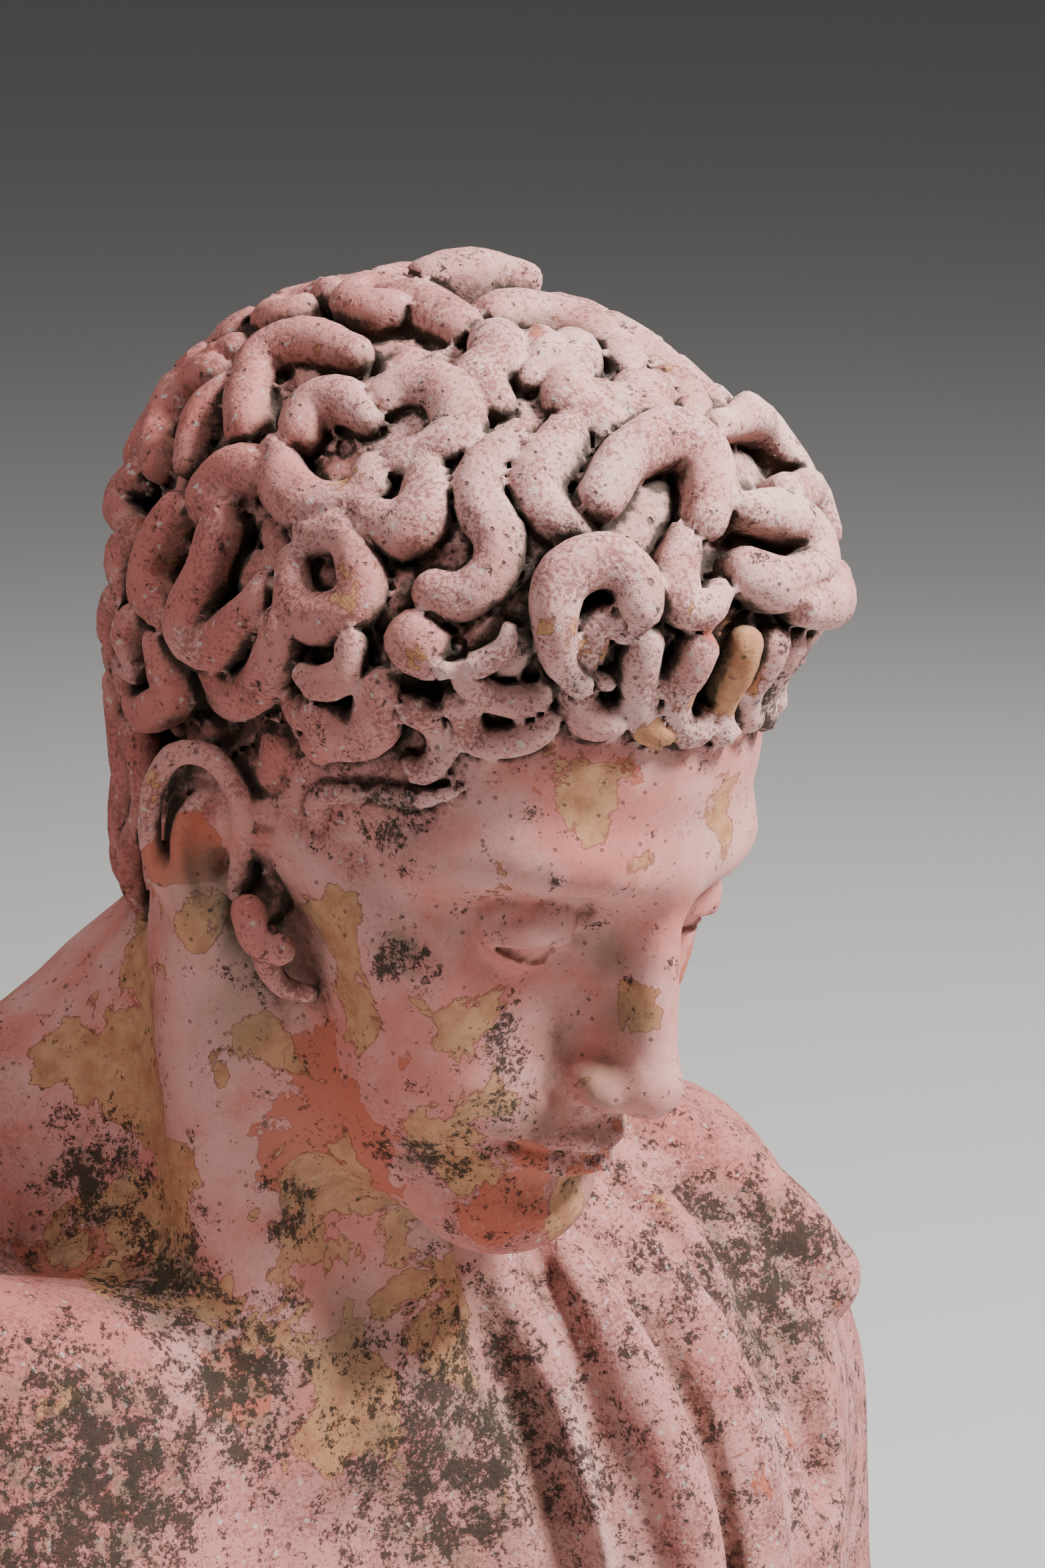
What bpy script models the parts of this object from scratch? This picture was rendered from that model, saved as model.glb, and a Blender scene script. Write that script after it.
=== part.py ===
"""Male bust with curly hair, bowed head and a cloak over the left shoulder.

One solid of cast stone, cut off flat below. Metres, +Z up, the chest faces -Y.
The forms are given in canon units, a 232nd of the head's height from chin to crown.
"""
import math
import random

import bmesh
import bpy
import numpy as np
from mathutils import Matrix, Vector

# Driving sizes, in metres and degrees
HEAD_HEIGHT = 0.232        # chin to the crown of the skull, without the hair
CUT_BELOW_NECK_PIT = 0.235  # from the pit of the neck down to the flat underside
HEAD_TURN = 7.3            # towards the statue's left
HEAD_BOW = 19.8            # chin down
HEAD_TILT = 3.7            # crown towards the statue's left
REMESH_CELL = 0.0038       # grid that fuses the forms
FACES_KEPT = 0.070         # share of the fused faces kept in the solid
SMOOTHING_ROUNDS = 1
JITTER_SEED = 7

# Canon units
UNIT = HEAD_HEIGHT / 232
PIT_HEIGHT = CUT_BELOW_NECK_PIT / UNIT
NECK_PIT = Vector((-3, -62, 0))
HEAD_PLACE = Vector((33, -48, 180))    # midpoint of the ear canals above the pit
RIGHT, LEFT = -1, 1
SHOULDER_LIFT = {RIGHT: 30, LEFT: 5}
UNDERCUT = -20                         # how far the trunk runs on below the cut
BROAD, FOLD_BLEND, HAIR_BLEND, HOLLOW_BLEND = 30, 9, 4, 5
KEEL = 0.5                             # a curl reaches twice its thickness towards the skull
NEAR, FAR = 14, 60                     # reach of a form, and the distance where none is near
DRAW_ROUNDS = (7, 3)                   # before and after the surface is laid out afresh
SHARP_FOLD, FOLD_ROUNDS = 115, 6       # degrees between faces that are opened up again

# Hair: the outer skin of the curls is an ellipsoid about the skull
HAIR_CENTRE = Vector((0, -1, 55))
HAIR_RADII = Vector((99, 123, 100))
HAIRLINE = ((0, 15), (40, 15), (65, -8), (78, -30), (84, -12), (100, -12), (110, -54), (180, -58))
TUCK_SPAN = 22                         # degrees above the hairline over which the hair lies closer
TUCK_BACK, TUCK_FRONT = 4, 22

# Curls of the right side and brow: longitude, latitude, ring radius, start, sweep, thickness, tip
CURLS = (
    (-20, 53, 11.5, 215, -245, 8, 7), (-15.5, 39, 12, 120, 215, 7, 4), (-40, 33, 14, 30, 210, 8, 5),
    (-35.5, 28, 8, 60, 230, 6, 4), (-50, 20, 13, 200, 150, 6, 5), (-48, 13, 15, 180, 170, 6, 4),
    (3, 43, 10, 150, -270, 9, 6), (-85, 52, 13, 150, -220, 8, 7), (-78, 42, 9, 30, -200, 7, 6),
    (-98, 43, 14, 60, 300, 7, 4), (-82, 22, 12, 100, -330, 7.5, 6), (-83, -9, 8, 180, 180, 9, 8),
    (-107, -13, 9, 100, 250, 7, 4), (-67, 2, 13, 160, 130, 7, 4), (-60, 4, 8.5, 120, -250, 5.5, 4),
    (-62, 32, 11, 30, -200, 7.5, 5), (-66, -9, 11, 80, 180, 5, 4), (-76, -24, 7, 60, 230, 5, 4),
    (26, 58, 11, 200, -260, 8, 6), (-120, 30, 11, 40, 230, 7, 5), (-124, 52, 12, 150, -230, 8, 6),
    (180, 74, 8, 0, 300, 10, 9),
)
# Strands of the same side, as stations of longitude and latitude, with a thickness
STRANDS = (
    (6, (-57, 58), (-66, 46), (-57, 38), (-61, 26)), (8, (-33, 56), (-43, 52), (-52, 45), (-47, 41)),
    (9, (-80, 66), (-60, 68), (-40, 66), (-20, 65), (-5, 63)), (9, (-130, 68), (-95, 75), (-50, 78), (0, 76)),
    (8, (4, 34), (17, 32), (36, 31), (50, 36)), (7, (12, 26), (22, 24), (32, 26)),
    (7, (-101, 3), (-95, 1), (-91, 8)), (6.5, (-85, 14), (-87, 6), (-91, -4), (-86, -7), (-79, 3)),
    (7, (-103, 20), (-105, 8)), (7, (-111, 10), (-113, -1)), (6, (-73, 16), (-74, 5)),
    (8, (-65, 17), (-64, 16)), (5, (-61, 17), (-52, 24)), (5, (-80, -21), (-72, -20)),
)
FRINGE = ((-24, -28), (-17, -15), (-8, -8), (0, -3), (8, 4), (16, 12), (24, 22), (33, 32), (42, 42))
FRINGE_TOP, FRINGE_FOOT, FRINGE_THICK = 28, 17, 5.5

# Cloak folds over the left shoulder, as stations in canon units above the pit, with a thickness
FOLDS = (
    (15, (92, 92, 20), (104, 60, 52), (122, 15, 62), (146, -30, 44), (168, -52, 20), (182, -58, 0)),
    (6, (84, 70, 45), (98, 20, 62), (112, -30, 52), (132, -62, 22), (146, -78, -8), (152, -90, -50)),
    (20, (100, -20, 40), (110, -60, 22), (116, -84, -30), (114, -96, -90), (108, -92, -170), (104, -84, -255)),
    (10, (66, 60, 52), (74, 10, 60), (73, -46, 36), (80, -82, 10), (87, -108, -40), (88, -116, -110),
     (84, -106, -190), (80, -96, -255)),
    (7, (52, 50, 48), (58, 0, 56), (58, -46, 34), (60, -72, 2), (63, -98, -36), (66, -110, -90),
     (64, -106, -160), (58, -94, -255)),
)
OUTER_FOLDS = 9                        # falling round the left arm and down the back


def to_world(point):
    """Canon units, measured from the pit of the neck's height, to metres above the underside."""
    return Vector((point[0], point[1], point[2] + PIT_HEIGHT)) * UNIT


def head_frame():
    turn = (Matrix.Rotation(math.radians(HEAD_TURN), 4, 'Z')
            @ Matrix.Rotation(math.radians(HEAD_BOW), 4, 'X')
            @ Matrix.Rotation(math.radians(HEAD_TILT), 4, 'Y'))
    return Matrix.Translation(to_world(HEAD_PLACE)) @ turn @ Matrix.Scale(UNIT, 4)


def trunk_frame():
    return Matrix.Translation((0, 0, CUT_BELOW_NECK_PIT)) @ Matrix.Scale(UNIT, 4)


def both_sides(stations, side):
    return [(side * x, y, z) for x, y, z in stations]


def smooth_path(stations, steps):
    """Catmull-Rom curve through the stations, with a few steps from each to the next."""
    stations = [Vector(station) for station in stations]
    ends = [stations[0] * 2 - stations[1]] + stations + [stations[-1] * 2 - stations[-2]]
    path = []
    for before, start, end, after in zip(ends, ends[1:], ends[2:], ends[3:]):
        for step in range(steps):
            t = step / steps
            path.append(0.5 * (2 * start + (end - before) * t
                               + (2 * before - 5 * start + 4 * end - after) * t ** 2
                               + (3 * start - before - 3 * end + after) * t ** 3))
    return path + [stations[-1]]


def smooth_union(one, other, blend):
    """The lesser of two distances, rounded over where they are within a blend of each other."""
    near = np.maximum(blend - np.abs(one - other), 0) / blend
    return np.minimum(one, other) - near * near * blend / 4


class Mass:
    """An ellipsoid; turn is about its frame's Z, in degrees."""

    def __init__(self, frame, centre, radii, turn):
        self.place = (frame @ Matrix.Translation(centre) @ Matrix.Rotation(math.radians(turn), 4, 'Z')
                      @ Matrix.Diagonal((*radii, 1)))
        self.radii = np.array(radii) * frame.to_scale()[0]
        self.low = np.array(self.place.translation) - self.radii.max()
        self.high = np.array(self.place.translation) + self.radii.max()

    def build(self, forms):
        bmesh.ops.create_uvsphere(forms.mesh, u_segments=32, v_segments=20, radius=1, matrix=self.place)

    def distance(self, points):
        back = np.array(self.place.inverted())
        unit = points @ back[:3, :3].T + back[:3, 3]
        out = np.linalg.norm(unit, axis=1)
        slope = np.linalg.norm(unit / self.radii, axis=1) + 1e-9
        return out * (out - 1) / slope


class Strand:
    """A round strand with domed ends; a keel reaches from it towards a centre below."""

    def __init__(self, frame, points, thick, tip, below):
        last = len(points) - 1
        scale = frame.to_scale()[0]
        self.points = np.array([frame @ Vector(point) for point in points])
        self.radii = np.array([thick + (tip - thick) * index / last for index in range(last + 1)]) * scale
        self.below = None if below is None else np.array(frame @ below)
        reach = self.radii.max() * (1 if below is None else 2)
        self.low = self.points.min(axis=0) - reach
        self.high = self.points.max(axis=0) + reach

    def build(self, forms):
        forms.add_spline(self.points, self.radii)
        if self.below is not None:
            inwards = self.below - self.points
            inwards /= np.linalg.norm(inwards, axis=1)[:, None]
            forms.add_spline(self.points + inwards * self.radii[:, None], self.radii * 0.8)

    def distance(self, points):
        best = np.full(len(points), 1.0)
        for start, end, thick, tip in zip(self.points, self.points[1:], self.radii, self.radii[1:]):
            way = end - start
            share = np.clip((points - start) @ way / (way @ way + 1e-12), 0, 1)
            off = points - start - share[:, None] * way
            square = (off * off).sum(axis=1)
            if self.below is not None:
                middle = (start + end) / 2 - self.below
                rise = off @ (middle / np.linalg.norm(middle))
                square -= np.where(rise < 0, rise * rise * (1 - KEEL ** 2), 0)
            best = np.minimum(best, np.sqrt(square) - thick - (tip - thick) * share)
        return best


class Forms:
    """The masses and strands of one body: fused by Blender, then drawn to their blended surface."""

    def __init__(self, name):
        self.name = name
        self.shapes = []
        self.mesh = bmesh.new()
        self.curve = bpy.data.curves.new(name + "_strands", 'CURVE')
        self.curve.dimensions = '3D'
        self.curve.bevel_depth = 1.0
        self.curve.bevel_resolution = 2
        self.curve.use_fill_caps = True

    def mass(self, frame, centre, radii, turn=0.0, blend=10):
        self.shapes.append((Mass(frame, centre, radii, turn), blend * UNIT))

    def strand(self, frame, points, thick, tip=None, blend=10, below=None):
        shape = Strand(frame, points, thick, thick if tip is None else tip, below)
        self.shapes.append((shape, blend * UNIT))

    def add_spline(self, points, radii):
        """One closed tube of the strands' curve, its ends domed."""
        start_way = points[0] - points[1]
        end_way = points[-1] - points[-2]
        start_way *= radii[0] / np.linalg.norm(start_way)
        end_way *= radii[-1] / np.linalg.norm(end_way)
        dome = [(math.sin(math.radians(a)), math.cos(math.radians(a))) for a in (80, 50, 25)]
        path = [(points[0] + start_way * out, radii[0] * wide) for out, wide in dome]
        path += list(zip(points, radii))
        path += [(points[-1] + end_way * out, radii[-1] * wide) for out, wide in reversed(dome)]
        spline = self.curve.splines.new('POLY')
        spline.points.add(len(path) - 1)
        for point, (place, radius) in zip(spline.points, path):
            point.co = (*place, 1)
            point.radius = radius

    def fused(self):
        """The primitives and strands as one plain mesh, not yet one body."""
        for shape, _ in self.shapes:
            shape.build(self)
        holder = bpy.data.objects.new(self.name + "_strands", self.curve)
        bpy.context.scene.collection.objects.link(holder)
        shape = holder.evaluated_get(bpy.context.evaluated_depsgraph_get())
        strands = bpy.data.meshes.new_from_object(shape)
        self.mesh.from_mesh(strands)
        bpy.data.objects.remove(holder)
        bmesh.ops.remove_doubles(self.mesh, verts=self.mesh.verts, dist=UNIT * 0.01)
        mesh = bpy.data.meshes.new(self.name)
        self.mesh.to_mesh(mesh)
        self.mesh.free()
        return mesh

    def distance(self, points):
        """Distance of points to the blended surface, negative inside."""
        total = np.full(len(points), FAR * UNIT)
        for shape, blend in self.shapes:
            reach = blend + NEAR * UNIT
            near = ((points > shape.low - reach) & (points < shape.high + reach)).all(axis=1)
            if near.any():
                total[near] = smooth_union(total[near], shape.distance(points[near]), blend)
        return total


def draw_to_surface(mesh, solid, hollow, rounds):
    """Evens out the points of the fused mesh and moves them onto the blended forms, in turns."""
    edges = np.empty(len(mesh.edges) * 2, dtype=np.int64)
    mesh.edges.foreach_get("vertices", edges)
    near, far = edges.reshape(-1, 2).T
    count = len(mesh.vertices)
    links = np.bincount(edges, minlength=count)
    points = np.empty(count * 3)
    normals = np.empty(count * 3)
    for turn in range(rounds):
        mesh.vertices.foreach_get("co", points)
        mesh.vertex_normals.foreach_get("vector", normals)
        place = points.reshape(-1, 3)
        gap = -smooth_union(-solid.distance(place), hollow.distance(place), HOLLOW_BLEND * UNIT)
        step = np.clip(gap, -REMESH_CELL, REMESH_CELL)
        place = place - normals.reshape(-1, 3) * step[:, None]
        if turn < rounds - 1:
            middle = np.stack([(np.bincount(near, axis[far], count) + np.bincount(far, axis[near], count))
                               / links for axis in place.T], axis=1)
            place = (place + middle) / 2
        mesh.vertices.foreach_set("co", place.ravel())
        mesh.update()


def hairline(longitude):
    """Latitude of the hair's edge at a longitude, read from the HAIRLINE stations."""
    longitude = abs((longitude + 180) % 360 - 180)
    for (low, start), (high, end) in zip(HAIRLINE, HAIRLINE[1:]):
        if longitude <= high:
            return start + (end - start) * (longitude - low) / (high - low)
    return HAIRLINE[-1][1]


def hair_point(longitude, latitude, sink):
    """A point under the outer skin of the hair, which lies closer near the hairline."""
    lon, lat = math.radians(longitude), math.radians(latitude)
    way = Vector((math.sin(lon) * math.cos(lat) * HAIR_RADII[0],
                  -math.cos(lon) * math.cos(lat) * HAIR_RADII[1], math.sin(lat) * HAIR_RADII[2]))
    near = min(max((hairline(longitude) + TUCK_SPAN - latitude) / TUCK_SPAN, 0), 1)
    most = TUCK_BACK + (TUCK_FRONT - TUCK_BACK) * (0.5 + 0.5 * math.cos(lon))
    tuck = most * near * near * (3 - 2 * near)
    return HAIR_CENTRE + way * (1 - (sink + tuck) / way.length)


def degrees_per_unit(longitude, latitude):
    lon, lat = math.radians(longitude), math.radians(latitude)
    across = math.cos(lat) * math.hypot(HAIR_RADII[0] * math.cos(lon), HAIR_RADII[1] * math.sin(lon))
    ring = math.hypot(HAIR_RADII[0] * math.sin(lon), HAIR_RADII[1] * math.cos(lon))
    along = math.hypot(math.sin(lat) * ring, math.cos(lat) * HAIR_RADII[2])
    return math.degrees(1 / across), math.degrees(1 / along)


def curl(forms, frame, longitude, latitude, ring, start, sweep, thick, tip):
    """A lock that runs round an arc on the hair's skin."""
    across, along = degrees_per_unit(longitude, latitude)
    steps = max(5, round(abs(sweep) / 25))
    points = []
    for step in range(steps + 1):
        angle = math.radians(start + sweep * step / steps)
        sink = thick + (tip - thick) * step / steps
        points.append(hair_point(longitude + ring * math.cos(angle) * across,
                                 latitude + ring * math.sin(angle) * along, sink))
    forms.strand(frame, points, thick, tip, HAIR_BLEND, HAIR_CENTRE)


def hair_strand(forms, frame, stations, thick, tip=None):
    way = smooth_path([(lon, lat, 0) for lon, lat in stations], 4)
    points = [hair_point(place[0], place[1], thick) for place in way]
    forms.strand(frame, points, thick, tip, HAIR_BLEND, HAIR_CENTRE)


def shape_hair(forms, frame):
    forms.mass(frame, (0, 12, 56), (79, 96, 81), blend=HAIR_BLEND)
    forms.mass(frame, (0, -14, 92), (70, 76, 45), blend=HAIR_BLEND)
    forms.mass(frame, (0, 36, 8), (64, 58, 58), blend=HAIR_BLEND)
    for values in CURLS:
        curl(forms, frame, *values)
    for thick, *stations in STRANDS:
        hair_strand(forms, frame, stations, thick)
    for top, foot in FRINGE:
        hair_strand(forms, frame, ((top, FRINGE_TOP), (foot, FRINGE_FOOT)), FRINGE_THICK)
    shape_plain_curls(forms, frame)


def shape_plain_curls(forms, frame):
    """Rows of curls over the back, the left side and the crown, plainer than the right side."""
    chance = random.Random(JITTER_SEED)
    for row, latitude in enumerate(range(-40, 80, 16)):
        across, _ = degrees_per_unit(90, latitude)
        count = max(3, round(360 / (29 * across)))
        for place in range(count):
            longitude = -180 + 360 * (place + 0.5 * (row % 2)) / count + chance.uniform(-3, 3)
            ring = chance.uniform(9, 12)
            start = chance.uniform(0, 360)
            sweep = chance.choice((-1, 1)) * chance.uniform(190, 260)
            shown = -117 < longitude < 44 and latitude > -32
            if shown or latitude < hairline(longitude) + 7:
                continue
            curl(forms, frame, longitude, latitude + chance.uniform(-2, 2), ring, start, sweep, 7.5, 5)


def shape_head(forms, frame):
    forms.mass(frame, (0, 8, 42), (74, 94, 84), blend=14)
    forms.mass(frame, (0, -18, 48), (68, 78, 62), blend=20)
    forms.mass(frame, (0, -32, -22), (57, 55, 70), blend=20)
    forms.mass(frame, (0, -80, -88), (20, 15, 16), blend=14)
    forms.mass(frame, (0, -75, -57), (27, 24, 25), blend=16)
    forms.strand(frame, [(0, -91, 26), (0, -100, 4), (0, -108, -20), (0, -112, -31)], 8.5, 9.5, 9)
    forms.strand(frame, [(0, -86, 14), (0, -90, -14), (0, -95, -36)], 8, 11, 6)
    for side in (RIGHT, LEFT):
        forms.mass(frame, (side * 41, -54, -16), (20, 23, 20), blend=18)
        forms.mass(frame, (side * 30, -60, -46), (24, 24, 28), blend=18)
        forms.mass(frame, (side * 31, -75, 6), (14.5, 14.5, 14), blend=4)
        forms.mass(frame, (side * 10.5, -104, -35), (8, 10, 7), blend=5)
        jaw = both_sides([(52, 4, -48), (44, -20, -68), (14, -72, -86)], side)
        forms.strand(frame, smooth_path(jaw, 4), 16, blend=18)
        brow = both_sides([(6, -92, 28), (24, -90, 31), (44, -76, 29), (58, -53, 20)], side)
        forms.strand(frame, smooth_path(brow, 3), 8, 7, 9)
        lips = both_sides([(0, -101, -57), (9, -99, -56), (22, -87, -60)], side)
        forms.strand(frame, lips, 4.5, 2.5, 5)
        lips = both_sides([(0, -99, -67), (9, -97, -66), (21, -86, -61)], side)
        forms.strand(frame, lips, 6, 2.5, 5)
        shape_ear(forms, frame, side)


def shape_ear(forms, frame, side):
    forms.mass(frame, (side * 76, 3, -9), (7, 14, 26), side * -18, 4)
    rim = both_sides([(76, -11, -3), (80, -9, 11), (83, 3, 19), (86, 16, 9), (84, 17, -11), (77, 3, -34)], side)
    forms.strand(frame, smooth_path(rim, 3), 4, blend=3)


def shape_trunk(forms, frame):
    forms.mass(frame, (0, 28, -185), (160, 108, 215), blend=BROAD)
    forms.mass(frame, (0, 45, -35), (130, 75, 85), blend=BROAD)
    for side in (RIGHT, LEFT):
        lift = SHOULDER_LIFT[side]
        forms.mass(frame, (side * 76, -42, -118), (80, 45, 76), blend=40)
        forms.mass(frame, (side * 85, -28, -22 + lift / 2), (76, 38, 52), blend=BROAD)
        forms.mass(frame, (side * 72, -36, -66), (78, 42, 50), blend=40)
        forms.mass(frame, (side * 172, 15, -40 + lift), (58, 64, 75), blend=BROAD)
        forms.mass(frame, (side * 82, 85, -65), (72, 45, 110), blend=BROAD)
        arm = both_sides([(176, 15, -65 + lift), (186, 10, -175), (188, 0, -235 + UNDERCUT)], side)
        forms.strand(frame, smooth_path(arm, 4), 56, 50, BROAD)
        ridge = both_sides([(12, 34, 87), (60, 40, 49 + lift / 2), (110, 32, 17 + lift),
                            (165, 18, 1 + lift)], side)
        forms.strand(frame, smooth_path(ridge, 4), 38, 36, BROAD)
        bone = both_sides([(22, -50, -13), (70, -46, 1 + lift / 2), (125, -30, 13 + lift),
                           (165, 0, 15 + lift)], side)
        forms.strand(frame, smooth_path(bone, 4), 11, 17, BROAD)


def shape_neck(forms, trunk, head):
    """Neck and the two muscles that run from behind the ears to the pit."""
    down = trunk.inverted() @ head
    nape = down @ Vector((0, 18, -40))
    forms.strand(trunk, [(0, 12, -35), nape], 66, 57, BROAD)
    for side in (RIGHT, LEFT):
        behind_ear = down @ Vector((side * 58, 20, -16))
        pit = NECK_PIT + Vector((side * 14, 6, -2))
        middle = (behind_ear + pit) / 2 + Vector((side * 12, -4, -4))
        forms.strand(trunk, smooth_path([behind_ear, middle, pit], 4), 17, 11, 16)


def shape_cloak(forms, frame):
    forms.mass(frame, (158, 15, -70), (70, 84, 104), blend=14)
    outer = [(176, 15, -65), (186, 5, -175), (186, 0, -235 + UNDERCUT)]
    forms.strand(frame, smooth_path(outer, 4), 62, blend=BROAD)
    bands = (
        (30, 38, ((90, 72, 42), (98, 20, 48), (90, -40, 14), (82, -74, -60), (76, -78, -155), (66, -72, -255))),
        (36, 38, ((126, 56, 14), (150, -20, 4), (142, -62, -66), (130, -66, -175), (120, -60, -255))),
        (40, 44, ((90, 70, 26), (95, 92, -40), (90, 94, -150), (84, 86, -255))),
    )
    for thick, tip, stations in bands:
        forms.strand(frame, smooth_path(stations, 4), thick, tip, BROAD)
    for thick, *stations in FOLDS:
        forms.strand(frame, smooth_path(stations, 4), thick, blend=FOLD_BLEND)
    for fold in range(OUTER_FOLDS):
        share = fold / (OUTER_FOLDS - 1)
        angle = math.radians(-35 + 185 * share)
        lean = math.cos(angle), math.sin(angle)
        hem = 14 if fold % 2 else 10
        stations = [(150 + 40 * lean[0], 20 + 48 * lean[1], 0 - 14 * share),
                    (160 + 58 * lean[0], 18 + 66 * lean[1], -60),
                    (166 + 66 * lean[0], 12 + 70 * lean[1], -150),
                    (164 + 70 * lean[0], 6 + 70 * lean[1], -235 + UNDERCUT)]
        forms.strand(frame, smooth_path(stations, 4), hem, blend=FOLD_BLEND)


def shape_hollows(forms, trunk, head):
    """What is cut back: eye sockets, the bowls of the ears, the mouth line and the cloak's edge."""
    for side in (RIGHT, LEFT):
        forms.mass(head, (side * 31, -105, 9), (19, 17, 9))
        forms.mass(head, (side * 88, -3, -9), (8, 7, 12), side * -18)
    forms.strand(head, [(-22, -90, -62), (0, -108, -61), (22, -90, -62)], 1.8)
    edge = [(40, -40, 30), (44, -66, 10), (48, -84, -14), (50, -103, -45), (50, -112, -90), (46, -112, -150)]
    forms.strand(trunk, smooth_path(edge, 4), 8, 5)
    valley = [(104, -48, 52), (112, -76, 30), (128, -86, 4), (140, -96, -24)]
    forms.strand(trunk, smooth_path(valley, 4), 5, 3)


def one_body(mesh):
    """Keeps the largest closed body of a mesh and drops sealed pockets inside it."""
    body = bmesh.new()
    body.from_mesh(mesh)
    waiting = set(body.faces)
    largest = set()
    while waiting:
        seed = waiting.pop()
        found, edge = {seed}, [seed]
        while edge:
            face = edge.pop()
            for side in face.edges:
                for other in side.link_faces:
                    if other in waiting:
                        waiting.discard(other)
                        found.add(other)
                        edge.append(other)
        if len(found) > len(largest):
            largest = found
    loose = [face for face in body.faces if face not in largest]
    bmesh.ops.delete(body, geom=loose, context='FACES')
    body.to_mesh(mesh)
    body.free()


def cut_flat(mesh):
    """Cuts the mesh off at the underside and closes it there."""
    body = bmesh.new()
    body.from_mesh(mesh)
    everything = body.verts[:] + body.edges[:] + body.faces[:]
    cut = bmesh.ops.bisect_plane(body, geom=everything, dist=UNIT * 0.001, plane_co=(0, 0, 0),
                                 plane_no=(0, 0, 1), clear_inner=True)
    rim = [part for part in cut["geom_cut"] if isinstance(part, bmesh.types.BMEdge)]
    bmesh.ops.holes_fill(body, edges=rim, sides=0)
    bmesh.ops.recalc_face_normals(body, faces=body.faces)
    body.to_mesh(mesh)
    body.free()


def open_folds(mesh):
    """Evens out the points round edges where the thinned faces fold back on each other."""
    body = bmesh.new()
    body.from_mesh(mesh)
    bmesh.ops.dissolve_degenerate(body, edges=body.edges, dist=UNIT * 0.5)
    bmesh.ops.triangulate(body, faces=body.faces)
    for _ in range(FOLD_ROUNDS):
        folded = [edge for edge in body.edges
                  if edge.is_manifold and edge.calc_face_angle() > math.radians(SHARP_FOLD)]
        points = list({point for edge in folded for face in edge.link_faces for point in face.verts})
        if not points:
            break
        bmesh.ops.smooth_vert(body, verts=points, factor=0.5, use_axis_x=True, use_axis_y=True,
                              use_axis_z=True)
    body.to_mesh(mesh)
    body.free()


def add_remesh(holder, name):
    fuse = holder.modifiers.new(name, 'REMESH')
    fuse.mode = 'VOXEL'
    fuse.voxel_size = REMESH_CELL


def remeshed(mesh, name, collection):
    """The mesh's forms as one closed skin, on the remesh grid."""
    holder = bpy.data.objects.new(name, mesh)
    collection.objects.link(holder)
    add_remesh(holder, "fuse")
    return holder


def evaluated(holder):
    return bpy.data.meshes.new_from_object(holder.evaluated_get(bpy.context.evaluated_depsgraph_get()))


def stone_material():
    stone = bpy.data.materials.new("cast_stone")
    stone.use_nodes = True
    shader = stone.node_tree.nodes["Principled BSDF"]
    shader.inputs["Base Color"].default_value = (0.56, 0.29, 0.27, 1)
    shader.inputs["Roughness"].default_value = 0.82
    shader.inputs["Metallic"].default_value = 0.0
    return stone


def main():
    for item in list(bpy.data.objects):
        bpy.data.objects.remove(item)
    parts = bpy.data.collections.new("male_bust")
    cutters = bpy.data.collections.new("cutters")
    for collection in (parts, cutters):
        bpy.context.scene.collection.children.link(collection)

    head, trunk = head_frame(), trunk_frame()
    solid_forms = Forms("bust")
    shape_trunk(solid_forms, trunk)
    shape_neck(solid_forms, trunk, head)
    shape_cloak(solid_forms, trunk)
    shape_head(solid_forms, head)
    shape_hair(solid_forms, head)
    hollow_forms = Forms("hollows")
    shape_hollows(hollow_forms, trunk, head)

    hollows = remeshed(hollow_forms.fused(), "hollows", cutters)
    rough = remeshed(solid_forms.fused(), "rough", cutters)
    carve = rough.modifiers.new("carve", 'BOOLEAN')
    carve.operation = 'DIFFERENCE'
    carve.object = hollows
    add_remesh(rough, "even_grid")
    skin = evaluated(rough)
    bpy.data.objects.remove(rough)
    one_body(skin)
    draw_to_surface(skin, solid_forms, hollow_forms, DRAW_ROUNDS[0])
    drawn = remeshed(skin, "drawn", cutters)
    skin = evaluated(drawn)
    bpy.data.objects.remove(drawn)
    one_body(skin)
    draw_to_surface(skin, solid_forms, hollow_forms, DRAW_ROUNDS[1])

    hollows.hide_render = True
    hollows.display_type = 'WIRE'

    bust = bpy.data.objects.new("bust", skin)
    parts.objects.link(bust)
    smooth = bust.modifiers.new("soften", 'SMOOTH')
    smooth.factor = 0.5
    smooth.iterations = SMOOTHING_ROUNDS
    thin = bust.modifiers.new("thin", 'DECIMATE')
    thin.ratio = FACES_KEPT
    bust.data = evaluated(bust)
    bust.modifiers.clear()
    open_folds(bust.data)
    cut_flat(bust.data)
    one_body(bust.data)
    bust.data.shade_smooth()
    bust.data.materials.append(stone_material())


main()
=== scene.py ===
"""Male bust in weathered pink cast stone: its carved surface, patina, lichen and a plain studio."""

import math
import random
from concurrent.futures import ThreadPoolExecutor

import bmesh
import bpy
import numpy as np
import openvdb
from bpy.props import FloatProperty, FloatVectorProperty, IntProperty, PointerProperty
from mathutils import Matrix, Vector


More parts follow.
